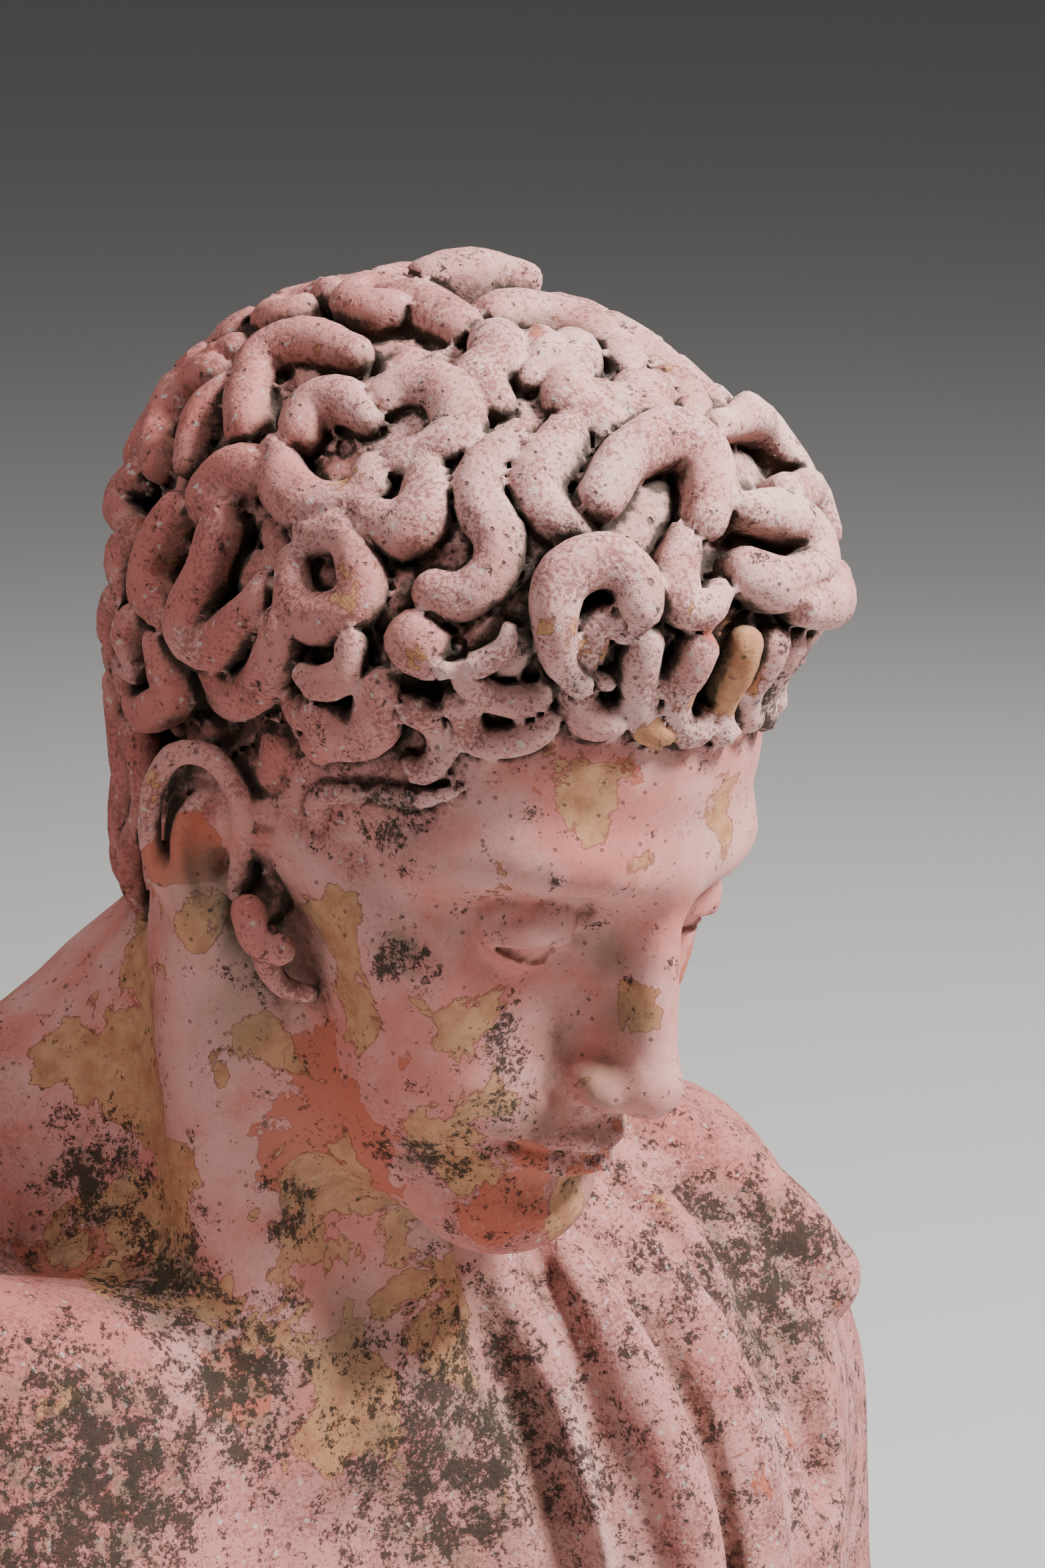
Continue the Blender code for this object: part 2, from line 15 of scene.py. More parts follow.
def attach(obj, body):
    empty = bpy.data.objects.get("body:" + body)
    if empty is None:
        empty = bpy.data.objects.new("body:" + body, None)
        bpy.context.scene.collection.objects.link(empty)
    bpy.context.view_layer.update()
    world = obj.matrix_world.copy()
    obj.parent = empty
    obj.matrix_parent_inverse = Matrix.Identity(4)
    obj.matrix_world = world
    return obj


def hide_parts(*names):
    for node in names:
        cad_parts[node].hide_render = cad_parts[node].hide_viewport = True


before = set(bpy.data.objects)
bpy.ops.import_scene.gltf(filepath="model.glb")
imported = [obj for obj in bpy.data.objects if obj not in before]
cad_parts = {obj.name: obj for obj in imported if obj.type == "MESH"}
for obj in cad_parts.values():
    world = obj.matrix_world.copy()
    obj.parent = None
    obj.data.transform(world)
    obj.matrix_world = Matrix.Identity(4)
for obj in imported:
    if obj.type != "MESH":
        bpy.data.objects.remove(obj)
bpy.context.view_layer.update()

bl_info = {
    "name": "Weathered Male Bust",
    "version": (1, 0, 0),
    "blender": (4, 5, 0),
    "location": "View3D > Sidebar > Bust",
    "description": "Carves a curly-haired male bust in pink cast stone and sets it in a plain studio",
    "category": "Object",
}

# Forms of the bust, in units of one 232nd of the height from chin to crown
UNIT = 0.232 / 232                     # metres
PIT_HEIGHT = 0.235                     # height of the pit of the neck, in metres
NECK_PIT = Vector((-3, -62, 0))
HEAD_PLACE = Vector((33, -48, 180))
HEAD_TURN, HEAD_BOW, HEAD_TILT = 7.3, 19.8, 3.7
RIGHT, LEFT = -1, 1
SHOULDER_LIFT = {RIGHT: 30, LEFT: 5}
ARM_END = -255                         # below the ground, where the bust is cut off flat
BROAD, FOLD_BLEND, HAIR_BLEND = 30, 6, 3   # widths over which two forms flow together
NEAR, FAR = 0.014, 0.060               # reach of a form and the distance where none is near, in metres

# Locks of the hair
KEEL, CREST = 0.5, 1.22                # squashing of a lock's section below and above its middle
FULLNESS, PROUD = 1.25, 6              # thickness against the tables, and lift of the proud locks
LOCK_SWELL, CURL_SWELL, LUMPS = 0.28, 0.2, 0.3
LOCK_START, LOCK_TIP = 0.9, 0.8        # shares of the thickness at a lock's two ends
LINE_LOCK, LINE_UP, LINE_ASIDE = 5, 0.93, 0.36   # least lock with a carved line, and the line's place
GROOVE = 1.1                           # carved line where a lock meets what lies beside it
UNDER_SINK, UNDER_THICK = 11, 6
UNDER_ROWS, UNDER_SPACING = range(-36, 90, 12), 22
PLAIN_ROWS, PLAIN_SPACING = range(-30, 80, 15), 27
NAPE_LOCKS, NAPE_START, NAPE_STEP = 17, -112, 14

HAIR_CENTRE = Vector((0, -1, 55))
HAIR_RADII = Vector((99, 123, 100))
HAIRLINE = ((0, 15), (40, 15), (65, -8), (78, -30), (84, -12), (100, -12), (110, -54), (180, -58))
TUCK_SPAN, TUCK_BACK, TUCK_FRONT = 22, 4, 22   # how the hair draws in above its lower edge

# Locks of the right side and crown: thickness, thickness at the tip, then longitudes and latitudes
LOCKS = (
    (7, 6.5, (-30, 86), (-48, 76), (-40, 68), (-20, 67)),
    (6.8, 6, (-105, 77), (-84, 73), (-84, 66), (-72, 63)),
    (6, 5.6, (-80, 83), (-64, 78), (-66, 72)),
    (7, 6.5, (30, 74), (5, 74), (-12, 70), (-30, 73)),
    (6.5, 6, (62, 72), (40, 69), (22, 67)),
    (8.2, 7.4, (-160, 34), (-164, 42), (-168, 52), (-154, 65), (-129, 73)),
    (6.4, 5.8, (-151, 79), (159, 80), (118, 80), (67, 81), (27, 79)),
    (6, 6, (80, 78), (70, 72), (60, 66), (52, 62)),
    (5.8, 6.2, (-115, 32), (-126, 36), (-135, 41), (-131, 49), (-119, 54)),
    (5.5, 4.7, (-104, 38), (-108, 43), (-103, 47), (-94, 47)),
    (5.8, 5.5, (-104, 33), (-97, 29), (-89, 30), (-84, 36), (-85, 40)),
    (6.2, 5.8, (-97, 52), (-96, 57), (-86, 60), (-76, 56), (-77, 49), (-82, 44)),
    (6.2, 5.5, (-76, 45), (-72, 39), (-74, 34), (-80, 33), (-85, 35)),
    (5.8, 5.8, (-104, 29), (-110, 24), (-110, 19), (-105, 19)),
    (5.5, 5.1, (-146, 34), (-147, 22), (-141, 15), (-129, 14)),
    (4.7, 4.3, (-129, 34), (-126, 26), (-119, 20)),
    (5.1, 4.7, (-134, 9), (-142, 0), (-126, 2)),
    (5.1, 4.3, (-123, 3), (-126, -4), (-121, -7)),
    (5.5, 4.9, (-115, 12), (-116, 3), (-114, -2), (-107, -3)),
    (5.5, 4.7, (-104, 17), (-102, 9), (-103, 0), (-101, -5), (-98, -2), (-91, 8), (-90, 14)),
    (4.7, 6.6, (-85, 14), (-84, 6), (-90, -7), (-97, -14), (-101, -11)),
    (5.1, 5.5, (-87, 26), (-83, 29), (-78, 26), (-75, 21), (-77, 16), (-82, 13), (-86, 16), (-88, 20)),
    (3.5, 3.9, (-73, 14), (-72, 9), (-75, 5), (-78, 5)),
    (5.1, 6.2, (-67, 9), (-67, 0), (-71, -4), (-74, -1)),
    (5.8, 7.4, (-101, -25), (-97, -32), (-88, -28), (-85, -19)),
    (4.7, 3.9, (-108, -9), (-105, -13), (-106, -20), (-116, -27), (-122, -22), (-114, -18)),
    (4.3, 3.9, (-121, -7), (-130, -17), (-130, -24)),
    (4.3, 3.9, (-131, -22), (-134, -32), (-126, -38)),
    (3.9, 3.5, (-114, -7), (-118, -14), (-114, -17)),
    (4.7, 6.2, (-61, 58), (-65, 50), (-63, 44), (-57, 40), (-56, 34), (-60, 28), (-64, 27)),
    (6.2, 6.2, (-45, 64), (-52, 54), (-51, 48), (-43, 46)),
    (4.9, 3.9, (-15, 48), (-20, 42), (-20, 37), (-15, 36), (-11, 39)),
    (4.3, 2.7, (-29, 32), (-35, 32), (-38, 28), (-35, 23), (-30, 22)),
    (3.5, 3.5, (24, 26), (45, 20)),
    (3.9, 3.1, (-56, 17), (-52, 14), (-45, 14), (-40, 17), (-39, 23)),
    (3.9, 3.1, (-55, 11), (-51, 4), (-45, 5), (-40, 9), (-37, 15)),
    (6.6, 6.2, (-65, 19), (-62, 17)),
    (2.7, 2.3, (-59, 16), (-54, 19), (-51, 23), (-51, 26)),
    (3.5, 3.1, (-62, 7), (-58, 5), (-55, -1), (-57, -7), (-60, -6)),
    (3.1, 2.7, (-66, -17), (-73, -22), (-75, -29), (-72, -36), (-62, -35)),
    (2.7, 2.3, (-64, -16), (-57, -13), (-51, -8)),
)
# Locks that lie over the others
PROUD_LOCKS = (
    (7.5, 5.5, (-170, 66), (166, 70), (152, 72)),
    (6.2, 6.2, (-38, 51), (-30, 59), (-11, 64), (0, 61), (-5, 55), (-11, 50)),
    (5.8, 4.7, (-30, 35), (-31, 39), (-37, 41), (-44, 37), (-45, 31), (-42, 25), (-36, 21)),
    (4.8, 6.8, (3, 51), (17, 49), (28, 43), (24, 39), (8, 39), (-3, 42)),
    (5.8, 6.6, (11, 36), (28, 33), (43, 31)),
    (4.2, 4.4, (15, 64), (42, 61), (57, 54), (54, 48)),
    (4.6, 4.2, (62, 56), (60, 49), (52, 44)),
    (4.6, 4.6, (25, 51), (50, 44), (48, 37)),
)
# Locks that hang over the forehead
FRINGE = (
    (5.2, 2.8, (-36, 29), (-36, 21), (-31, 14), (-25, 15), (-25, 19)),
    (5, 3, (-26, 30), (-23, 22), (-18, 14), (-13, 13)),
    (4.6, 2.6, (-14, 30), (-14, 21), (-10, 14), (-5, 14), (-4, 18)),
    (4.6, 2.8, (-3, 31), (-1, 22), (1, 14), (5, 12)),
    (4.4, 2.6, (7, 30), (8, 21), (12, 14), (16, 15)), (4.2, 2.4, (17, 28), (17, 19), (20, 12), (24, 12)),
    (4.6, 2.8, (27, 28), (27, 19), (30, 12), (34, 13)), (4.2, 2.6, (36, 27), (39, 19), (40, 11)),
    (4.4, 2.8, (45, 26), (45, 18), (48, 11), (52, 11)), (4.4, 3, (55, 24), (58, 16), (57, 9)),
)
# Locks beside the right ear, in the head's units
TEMPLE_LOCKS = (
    (5.1, 4.7, (-77, -18, -18), (-76, -23, -24), (-72, -29, -25)),
    (4.6, 2.8, (-73, -24, -24), (-70, -24, -32), (-66, -29, -38), (-62, -36, -37)),
)

# Cloak, in the trunk's units: thickness and stations of its folds, two thicknesses for its valleys
BANDS = (
    (30, 38, (90, 72, 42), (98, 20, 48), (90, -40, 14), (82, -74, -60), (76, -78, -155), (66, -72, -255)),
    (36, 38, (126, 56, 14), (150, -20, 4), (142, -62, -66), (130, -66, -175), (120, -60, -255)),
    (40, 44, (90, 70, 26), (95, 92, -40), (90, 94, -150), (84, 86, -255)),
)
FOLDS = (
    (15, (92, 92, 20), (104, 60, 52), (122, 15, 62), (146, -30, 44), (168, -52, 20), (182, -58, 0)),
    (6, (84, 70, 45), (98, 20, 62), (112, -30, 52), (132, -62, 22), (146, -78, -8), (152, -90, -50)),
    (20, (100, -20, 40), (110, -60, 22), (116, -84, -30), (114, -96, -90), (108, -92, -170),
     (104, -84, -255)),
    (10, (66, 60, 52), (74, 10, 60), (73, -46, 36), (80, -82, 10), (87, -108, -40), (88, -116, -110),
     (84, -106, -190), (80, -96, -255)),
    (7, (52, 50, 48), (58, 0, 56), (58, -46, 34), (60, -72, 2), (63, -98, -36), (66, -110, -90),
     (64, -106, -160), (58, -94, -255)),
)
VALLEYS = (
    (2, 11, (84, 40, 66), (98, -10, 66), (115, -44, 54), (132, -58, 36), (144, -76, 10), (154, -95, -17),
     (160, -96, -50)),
    (1, 6, (80, 20, 68), (92, -24, 66), (103, -57, 50), (108, -74, 38), (120, -80, 17), (129, -86, 0),
     (136, -92, -16)),
    (1, 6, (80, -50, 48), (88, -84, 24), (100, -94, -10), (104, -106, -45), (102, -104, -120),
     (98, -98, -200), (96, -96, -262)),
    (2, 7, (58, -20, 54), (65, -60, 36), (67, -81, 12), (67, -97, -12), (65, -110, -36), (64, -114, -90),
     (62, -108, -180), (60, -104, -262)),
    (6, 9, (34, -30, 42), (42, -66, 20), (49, -79, -10), (52, -95, -32), (53, -109, -52), (50, -114, -90),
     (44, -112, -180), (40, -104, -262)),
)
FRONTWARDS = Vector((0.1, -0.85, 0.5)).normalized()
OUTER_FOLDS, OUTER_START, OUTER_SPAN = 9, -35, 185      # round the cloaked arm, in degrees
OUTER_VALLEY_START, OUTER_VALLEY_SPAN = -28, 176
VALLEY_LEVELS = (4, -30, -80, -130, -180, -228, -262)
FRONT_SEARCH, OUTER_SEARCH, SEARCH_STEPS = 45, 140, 90  # for the cloak's surface below a valley's stations

# The surface
GRID_LOW, GRID_HIGH = np.array((-0.26, -0.20, -0.012)), np.array((0.27, 0.16, 0.585))
BLOCK, REGION = 4, 5                   # grid points along a block, blocks along a region
BLOCK_REACH = 1.35                     # block sides within which the surface may pass a block
BAND = 2                               # grid steps over which distances are kept
REGION_SIZE = 0.05                     # of the parts in which points are worked out, in metres
THREADS = 4
FACE_CENTRE, FACE_REACH = (0, -98, -28), (52, 34, 60)   # in the head's units, carved the finest
FACE_SHARE = 0.12                      # of the thinning that the face gets
WEARS = (("broad_wear", 1.0, 1.0), ("fine_wear", 0.3, 0.35))   # shares of the wear's width and depth

# What mark_surface measures, in metres
# How enclosed each point is; this darkens crevices and hollows with dirt and painted shade
OUTLOOKS = (("crevice", 0.003), ("recess", 0.008), ("shelter", 0.013))   # how far out each looks
RAISED_DEPTH, RAISED_GAIN = 0.005, 1.25
PART_EDGE = 0.003                      # over which one part's finish gives way to the next
NECK_AXIS, NECK_RADIUS, NECK_EDGE = (-0.005, -0.02), 0.088, 0.02
NECK_FOOT, NECK_RISE = 0.215, 0.05
HEAD_FOOT, HEAD_RISE = 0.325, 0.02
CHEST_TOP, CHEST_RISE = 0.30, 0.05
PAINTED_LIGHT_SIDE = (0.42, -0.80, 0.42)    # painted light: the side of the head that faces the key light, made paler
PALE_EVERYWHERE, PALE_SIDE = 0.25, 0.9
PALE_CHEST, PALE_CLOAK = 0.12, 0.25
SOIL_EVERYWHERE, SOIL_CLOAK, SOIL_BODY = 0.05, 0.15, 0.25

# Places of the patina, in millimetres: x, y, z and reach. A stain ends at SPREAD times its reach
SPREAD = 1.5
STAINS = {
    "tan": (
        (5, -158, 437, 14), (67, -164, 433, 16), (-28, -92, 395, 14), (-20, -94, 369, 14),
        (-2, -119, 371, 13), (38, -144, 372, 8), (44, -112, 303, 10), (7, -107, 341, 16),
        (-34, -11, 366, 18), (-45, 3, 341, 20), (-33, -61, 354, 13), (6, -63, 292, 24),
        (-35, -62, 270, 17), (-6, -68, 243, 22), (49, -169, 469, 14), (11, -158, 481, 9),
        (38, -67, 189, 18), (-44, -55, 389, 12), (-20, -70, 300, 22), (-30, -20, 330, 22),
        (-55, -30, 300, 24), (20, -72, 262, 26), (28, -164, 448, 9), (-2, -112, 330, 12),
        (6, -106, 320, 11), (-36, -100, 408, 9), (70, -100, 340, 20), (40, 90, 360, 25),
        (95, -70, 400, 20)),
    "salmon": (
        (-15, -77, 328, 24), (39, -125, 321, 11), (20, -118, 326, 7), (55, -113, 325, 8),
        (20, -109, 306, 14), (-2, -155, 441, 9), (-48, -47, 416, 13), (-12, -97, 359, 12),
        (-45, -64, 256, 14), (-60, -20, 280, 20), (88, -90, 360, 18)),
    "green": (
        (-32, -56, 385, 13), (29, -140, 352, 8), (22, -121, 335, 6), (-10, -66, 263, 15),
        (-46, -54, 401, 9), (33, -137, 384, 7), (38, -140, 367, 8), (-38, -56, 361, 10),
        (60, -90, 320, 25)),
    "soil": (
        (-20, -112, 390, 10), (10, -112, 362, 14), (13, -110, 342, 16), (-30, -114, 427, 14),
        (24, -70, 219, 45), (-52, -7, 304, 18), (-58, -43, 279, 20), (-47, -66, 252, 24),
        (41, -170, 440, 9), (-101, -66, 237, 45), (-2, -98, 326, 12), (-25, -67, 304, 10),
        (79, -161, 455, 14), (150, -60, 240, 40), (-140, 40, 230, 60), (100, 100, 200, 60),
        (20, -90, 120, 60)),
    "lichen": ((-36, -16, 506, 3),),
}

PIECE = "carved_stone"

# The stage: angles round and above the target in degrees, distances in metres
CAMERA_AZIMUTH, CAMERA_RISE, CAMERA_DISTANCE = -38.0, 14.0, 1.40
TARGET = Vector((0.0585, -0.0657, 0.4168))
LIGHTS = (                             # name, azimuth, rise, distance, side of the light, watts
    ("key", 34, 47, 1.7, 0.40, 74),
    ("side_fill", -95, 25, 1.8, 1.0, 4),
    ("top_back", -75, 68, 1.7, 0.7, 9),
    ("rim", 130, 35, 1.7, 0.8, 8),
)
STUDIO_AIR, STUDIO_GLOW = (0.86, 0.84, 0.82, 1), 0.11


class BustSizes(bpy.types.PropertyGroup):
    grid_step: FloatProperty(name="Carving Step", description="Grid step of the carved surface",
                             default=0.0016, min=0.001, max=0.006, unit='LENGTH', precision=4)
    faces: IntProperty(name="Faces", description="Triangles kept in the carved surface",
                       default=197000, min=20000, max=199000)
    wear_depth: FloatProperty(name="Wear Depth", description="Height of the worn unevenness of the surface",
                              default=0.0009, min=0.0, max=0.003, unit='LENGTH', precision=4)
    wear_size: FloatProperty(name="Wear Size", description="Width of the larger worn hollows",
                             default=0.013, min=0.002, max=0.05, unit='LENGTH')
    lichen_size: FloatProperty(name="Lichen Size", description="Mean radius of a lichen grain",
                               default=0.0008, min=0.0003, max=0.003, unit='LENGTH', precision=4)
    lichen_density: FloatProperty(name="Lichen Density", description="Grains on a square metre of full cover",
                                  default=900000.0, min=0.0, max=5000000.0)
    floor_size: FloatProperty(name="Floor Size", description="Side of the studio floor",
                              default=40.0, min=2.0, max=100.0, unit='LENGTH')
    lens: FloatProperty(name="Lens", description="Focal length of the camera", default=110.0, min=35.0,
                        max=200.0, unit='CAMERA')


def colour(name, words, values):
    return FloatVectorProperty(name=name, description=words, subtype='COLOR', size=3, min=0.0, max=1.0,
                               default=values)


class BustColours(bpy.types.PropertyGroup):
    # The pale pink is also laid on as painted light, on the side of the head that faces the key light
    pale: colour("Pale Stone", "Washed-out pink of the raised curls", (0.74, 0.44, 0.40))
    rose: colour("Rose Stone", "Deeper pink of the cloak and the shaded curls", (0.52, 0.16, 0.135))
    skin: colour("Pink Skin", "Smooth pink coat on face, neck and chest", (0.62, 0.20, 0.165))
    salmon: colour("Salmon Coat", "Orange-red coat where the pink has worn through", (0.50, 0.115, 0.06))
    tan: colour("Bare Body", "Ochre body where the coat has peeled off", (0.58, 0.29, 0.15))
    green: colour("Green Film", "Grey-green film in sheltered hollows", (0.19, 0.155, 0.10))
    # The dirt colour also serves as painted shade in the crevices and hollows
    dirt_and_shade: colour("Dirt and Shade", "Black-brown dirt and lichen in the crevices", (0.030, 0.023, 0.014))
    fleck: colour("Pale Grit", "Grey-white grit in the stone", (0.62, 0.57, 0.53))
    grain: colour("Dark Grain", "Dark rose grains of the stone", (0.27, 0.085, 0.075))
    bare: colour("Bare Body Shade", "Deeper ochre of the bare body", (0.42, 0.17, 0.08))
    lichen: colour("Lichen", "Grey-white lichen", (0.58, 0.55, 0.48))
    floor: colour("Floor", "Studio floor", (0.62, 0.61, 0.60))


# Geometry of the distance field

def head_frame():
    turn = (Matrix.Rotation(math.radians(HEAD_TURN), 4, 'Z')
            @ Matrix.Rotation(math.radians(HEAD_BOW), 4, 'X')
            @ Matrix.Rotation(math.radians(HEAD_TILT), 4, 'Y'))
    place = HEAD_PLACE * UNIT + Vector((0, 0, PIT_HEIGHT))
    return Matrix.Translation(place) @ turn @ Matrix.Scale(UNIT, 4)


def trunk_frame():
    return Matrix.Translation((0, 0, PIT_HEIGHT)) @ Matrix.Scale(UNIT, 4)


def both_sides(stations, side):
    return [(side * x, y, z) for x, y, z in stations]


def smooth_path(stations, steps):
    """Catmull-Rom curve through the stations, with a few steps from each to the next."""
    stations = [Vector(station) for station in stations]
    ends = [stations[0] * 2 - stations[1]] + stations + [stations[-1] * 2 - stations[-2]]
    path = []
    for before, start, end, after in zip(ends, ends[1:], ends[2:], ends[3:]):
        for step in range(steps):
            t = step / steps
            path.append(0.5 * (2 * start + (end - before) * t
                               + (2 * before - 5 * start + 4 * end - after) * t ** 2
                               + (3 * start - before - 3 * end + after) * t ** 3))
    return path + [stations[-1]]


def smooth_union(one, other, blend):
    near = np.maximum(blend - np.abs(one - other), 0) / blend
    return np.minimum(one, other) - near * near * (blend / 4)


class Mass:
    """An ellipsoid, turned about its frame's axes in degrees."""

    def __init__(self, place, centre, radii, turn=0.0, lean=0.0):
        spin = Matrix.Rotation(math.radians(turn), 4, 'Z') @ Matrix.Rotation(math.radians(lean), 4, 'X')
        whole = place @ Matrix.Translation(centre) @ spin @ Matrix.Diagonal((*radii, 1))
        self.back = np.array(whole.inverted(), dtype=np.float32)
        self.radii = np.array(radii, dtype=np.float32) * UNIT
        middle = np.array(whole.translation, dtype=np.float32)
        self.low, self.high = middle - self.radii.max(), middle + self.radii.max()

    def distance(self, points):
        unit = points @ self.back[:3, :3].T + self.back[:3, 3]
        out = np.sqrt((unit * unit).sum(axis=1))
        unit /= self.radii
        return out * (out - 1) / (np.sqrt((unit * unit).sum(axis=1)) + np.float32(1e-9))


def lump_phase(points):
    """An angle that differs from lock to lock, taken from where the lock lies."""
    return (points[0][0] * 1.7 + points[-1][2] * 2.3) % math.tau


class Strand:
    """A strand with domed ends. Where a centre below is given, its section is squashed about it."""

    def __init__(self, place, points, thick, tip, below=None, bulge=0.0):
        last = len(points) - 1
        self.points = np.array([place @ Vector(point) for point in points], dtype=np.float32)
        share = np.linspace(0, 1, last + 1)
        lumps = LUMPS * bulge * np.sin(share * 9 + lump_phase(points))
        swell = 1 + bulge * np.sin(share * math.pi) + lumps
        self.radii = ((thick + (tip - thick) * share) * swell * UNIT).astype(np.float32)
        self.below = None if below is None else np.array(place @ below, dtype=np.float32)
        reach = self.radii.max() * (1 if below is None else 2)
        self.low = self.points.min(axis=0) - reach
        self.high = self.points.max(axis=0) + reach

    def distance(self, points):
        best = np.full(len(points), 1.0, dtype=np.float32)
        for start, end, thick, tip in zip(self.points, self.points[1:], self.radii, self.radii[1:]):
            way = end - start
            off = points - start
            share = np.clip(off @ way / (way @ way + 1e-12), 0, 1).astype(np.float32)
            off -= share[:, None] * way
            square = (off * off).sum(axis=1)
            if self.below is not None:
                up = (start + end) / 2 - self.below
                rise = off @ (up / np.linalg.norm(up)).astype(np.float32)
                squash = np.where(rise < 0, np.float32(KEEL ** 2 - 1), np.float32(CREST ** 2 - 1))
                square += rise * rise * squash
            np.minimum(best, np.sqrt(np.maximum(square, 0)) - thick - (tip - thick) * share, out=best)
        return best


class Lid:
    """Part of a ball about the eye, above or below a bowed edge."""

    def __init__(self, place, centre, radius, edge, bow, facing):
        self.back = np.array(place.inverted(), dtype=np.float32)
        self.centre, self.radius = np.array(centre, dtype=np.float32), radius
        self.edge, self.bow, self.facing = edge, bow, facing
        middle = np.array(place @ Vector(centre), dtype=np.float32)
        self.low, self.high = middle - radius * UNIT, middle + radius * UNIT

    def distance(self, points):
        off = points @ self.back[:3, :3].T + self.back[:3, 3] - self.centre
        ball = np.sqrt((off * off).sum(axis=1)) - self.radius
        rim = self.facing * (self.edge + self.bow * off[:, 0] ** 2 - off[:, 2])
        return -smooth_union(-ball, -rim, 1.2) * UNIT


class Forms:
    """Forms in the order in which they are added to the bust or cut out of it."""

    def __init__(self):
        self.steps = []

    def add(self, shape, blend, kind):
        self.steps.append((shape, blend * UNIT, kind, False))

    def cut(self, shape, blend):
        self.steps.append((shape, blend * UNIT, None, True))

    def mass(self, place, centre, radii, turn=0.0, blend=10, kind="skin", lean=0.0):
        self.add(Mass(place, centre, radii, turn, lean), blend, kind)

    def strand(self, place, points, thick, tip=None, blend=10, below=None, kind="skin", bulge=0.0):
        self.add(Strand(place, points, thick, thick if tip is None else tip, below, bulge), blend, kind)

    def cut_mass(self, place, centre, radii, turn=0.0, blend=5, lean=0.0):
        self.cut(Mass(place, centre, radii, turn, lean), blend)

    def cut_strand(self, place, points, thick, tip=None, blend=5):
        self.cut(Strand(place, points, thick, thick if tip is None else tip), blend)

    def finish(self):
        """Notes the box around each form, so that far forms are passed over."""
        self.lows = np.array([shape.low - blend - NEAR for shape, blend, _, _ in self.steps])
        self.highs = np.array([shape.high + blend + NEAR for shape, blend, _, _ in self.steps])

    def distance(self, points):
        """Distance to the carved surface in metres, negative inside, right near the surface only."""
        total = np.full(len(points), FAR, dtype=np.float32)
        low, high = points.min(axis=0), points.max(axis=0)
        for index in np.flatnonzero(((self.lows < high) & (self.highs > low)).all(axis=1)):
            shape, blend, kind, hollow = self.steps[index]
            inside = ((points > self.lows[index]) & (points < self.highs[index])).all(axis=1)
            near = np.flatnonzero(inside)
            if not near.size:
                continue
            apart = shape.distance(points[near])
            before = total[near]
            after = -smooth_union(-before, apart, blend) if hollow else smooth_union(before, apart, blend)
            if kind == "hair":
                after = np.maximum(after, GROOVE * UNIT - np.sqrt(before * before + apart * apart))
            total[near] = after
        return total

    def nearest(self, points, kind):
        """Distance to the nearest form of a kind."""
        total = np.full(len(points), FAR, dtype=np.float32)
        for shape, _, own, _ in self.steps:
            if own != kind:
                continue
            near = np.flatnonzero(((points > shape.low - NEAR) & (points < shape.high + NEAR)).all(axis=1))
            if near.size:
                total[near] = np.minimum(total[near], shape.distance(points[near]))
        return total


def hairline(longitude):
    """Latitude of the hair's lower edge."""
    longitude = abs((longitude + 180) % 360 - 180)
    for (low, start), (high, end) in zip(HAIRLINE, HAIRLINE[1:]):
        if longitude <= high:
            return start + (end - start) * (longitude - low) / (high - low)
    return HAIRLINE[-1][1]


def hair_point(longitude, latitude, sink):
    """A point under the outer skin of the hair, which lies closer near the hairline."""
    lon, lat = math.radians(longitude), math.radians(latitude)
    way = Vector((math.sin(lon) * math.cos(lat) * HAIR_RADII[0],
                  -math.cos(lon) * math.cos(lat) * HAIR_RADII[1], math.sin(lat) * HAIR_RADII[2]))
    near = min(max((hairline(longitude) + TUCK_SPAN - latitude) / TUCK_SPAN, 0), 1)
    most = TUCK_BACK + (TUCK_FRONT - TUCK_BACK) * (0.5 + 0.5 * math.cos(lon))
    tuck = most * near * near * (3 - 2 * near)
    return HAIR_CENTRE + way * (1 - (sink + tuck) / way.length)


def degrees_per_unit(longitude, latitude):
    """Degrees round and degrees up that one unit takes on the skull."""
    lon, lat = math.radians(longitude), math.radians(latitude)
    across = math.cos(lat) * math.hypot(HAIR_RADII[0] * math.cos(lon), HAIR_RADII[1] * math.sin(lon))
    ring = math.hypot(HAIR_RADII[0] * math.sin(lon), HAIR_RADII[1] * math.cos(lon))
    along = math.hypot(math.sin(lat) * ring, math.cos(lat) * HAIR_RADII[2])
    return math.degrees(1 / across), math.degrees(1 / along)


def hair_lock(forms, place, stations, thick, tip, lift=0):
    """A lock along longitudes and latitudes of the skull, with a carved line where it is thick."""
    stations = unwrapped(stations)
    thick, tip = thick * FULLNESS, tip * FULLNESS
    way = smooth_path([(lon, lat, 0) for lon, lat in stations], 3)
    last = len(way) - 1
    points = [hair_point(spot[0], spot[1], thick + (tip - thick) * index / last - lift)
              for index, spot in enumerate(way)]
    forms.strand(place, points, thick * LOCK_START, tip * LOCK_TIP, HAIR_BLEND, HAIR_CENTRE, "hair",
                 bulge=LOCK_SWELL)
    if thick > LINE_LOCK and len(stations) > 3:
        carve_line(forms, place, points[2:-1], thick)


def carve_line(forms, place, points, thick):
    """A shallow line along a lock, a little to one side of its crest."""
    line = []
    for before, middle, after in zip(points, points[1:], points[2:]):
        up = (middle - HAIR_CENTRE).normalized()
        aside = up.cross(after - before).normalized()
        line.append(middle + up * thick * LINE_UP + aside * thick * LINE_ASIDE)
    if len(line) > 2:
        forms.cut_strand(place, line, 0.9, 0.7, 1.4)


def unwrapped(stations):
    """Longitudes that run on past 180 degrees instead of jumping back."""
    out = [stations[0]]
    for lon, lat in stations[1:]:
        while lon - out[-1][0] > 180:
            lon -= 360
        while lon - out[-1][0] < -180:
            lon += 360
        out.append((lon, lat))
    return out


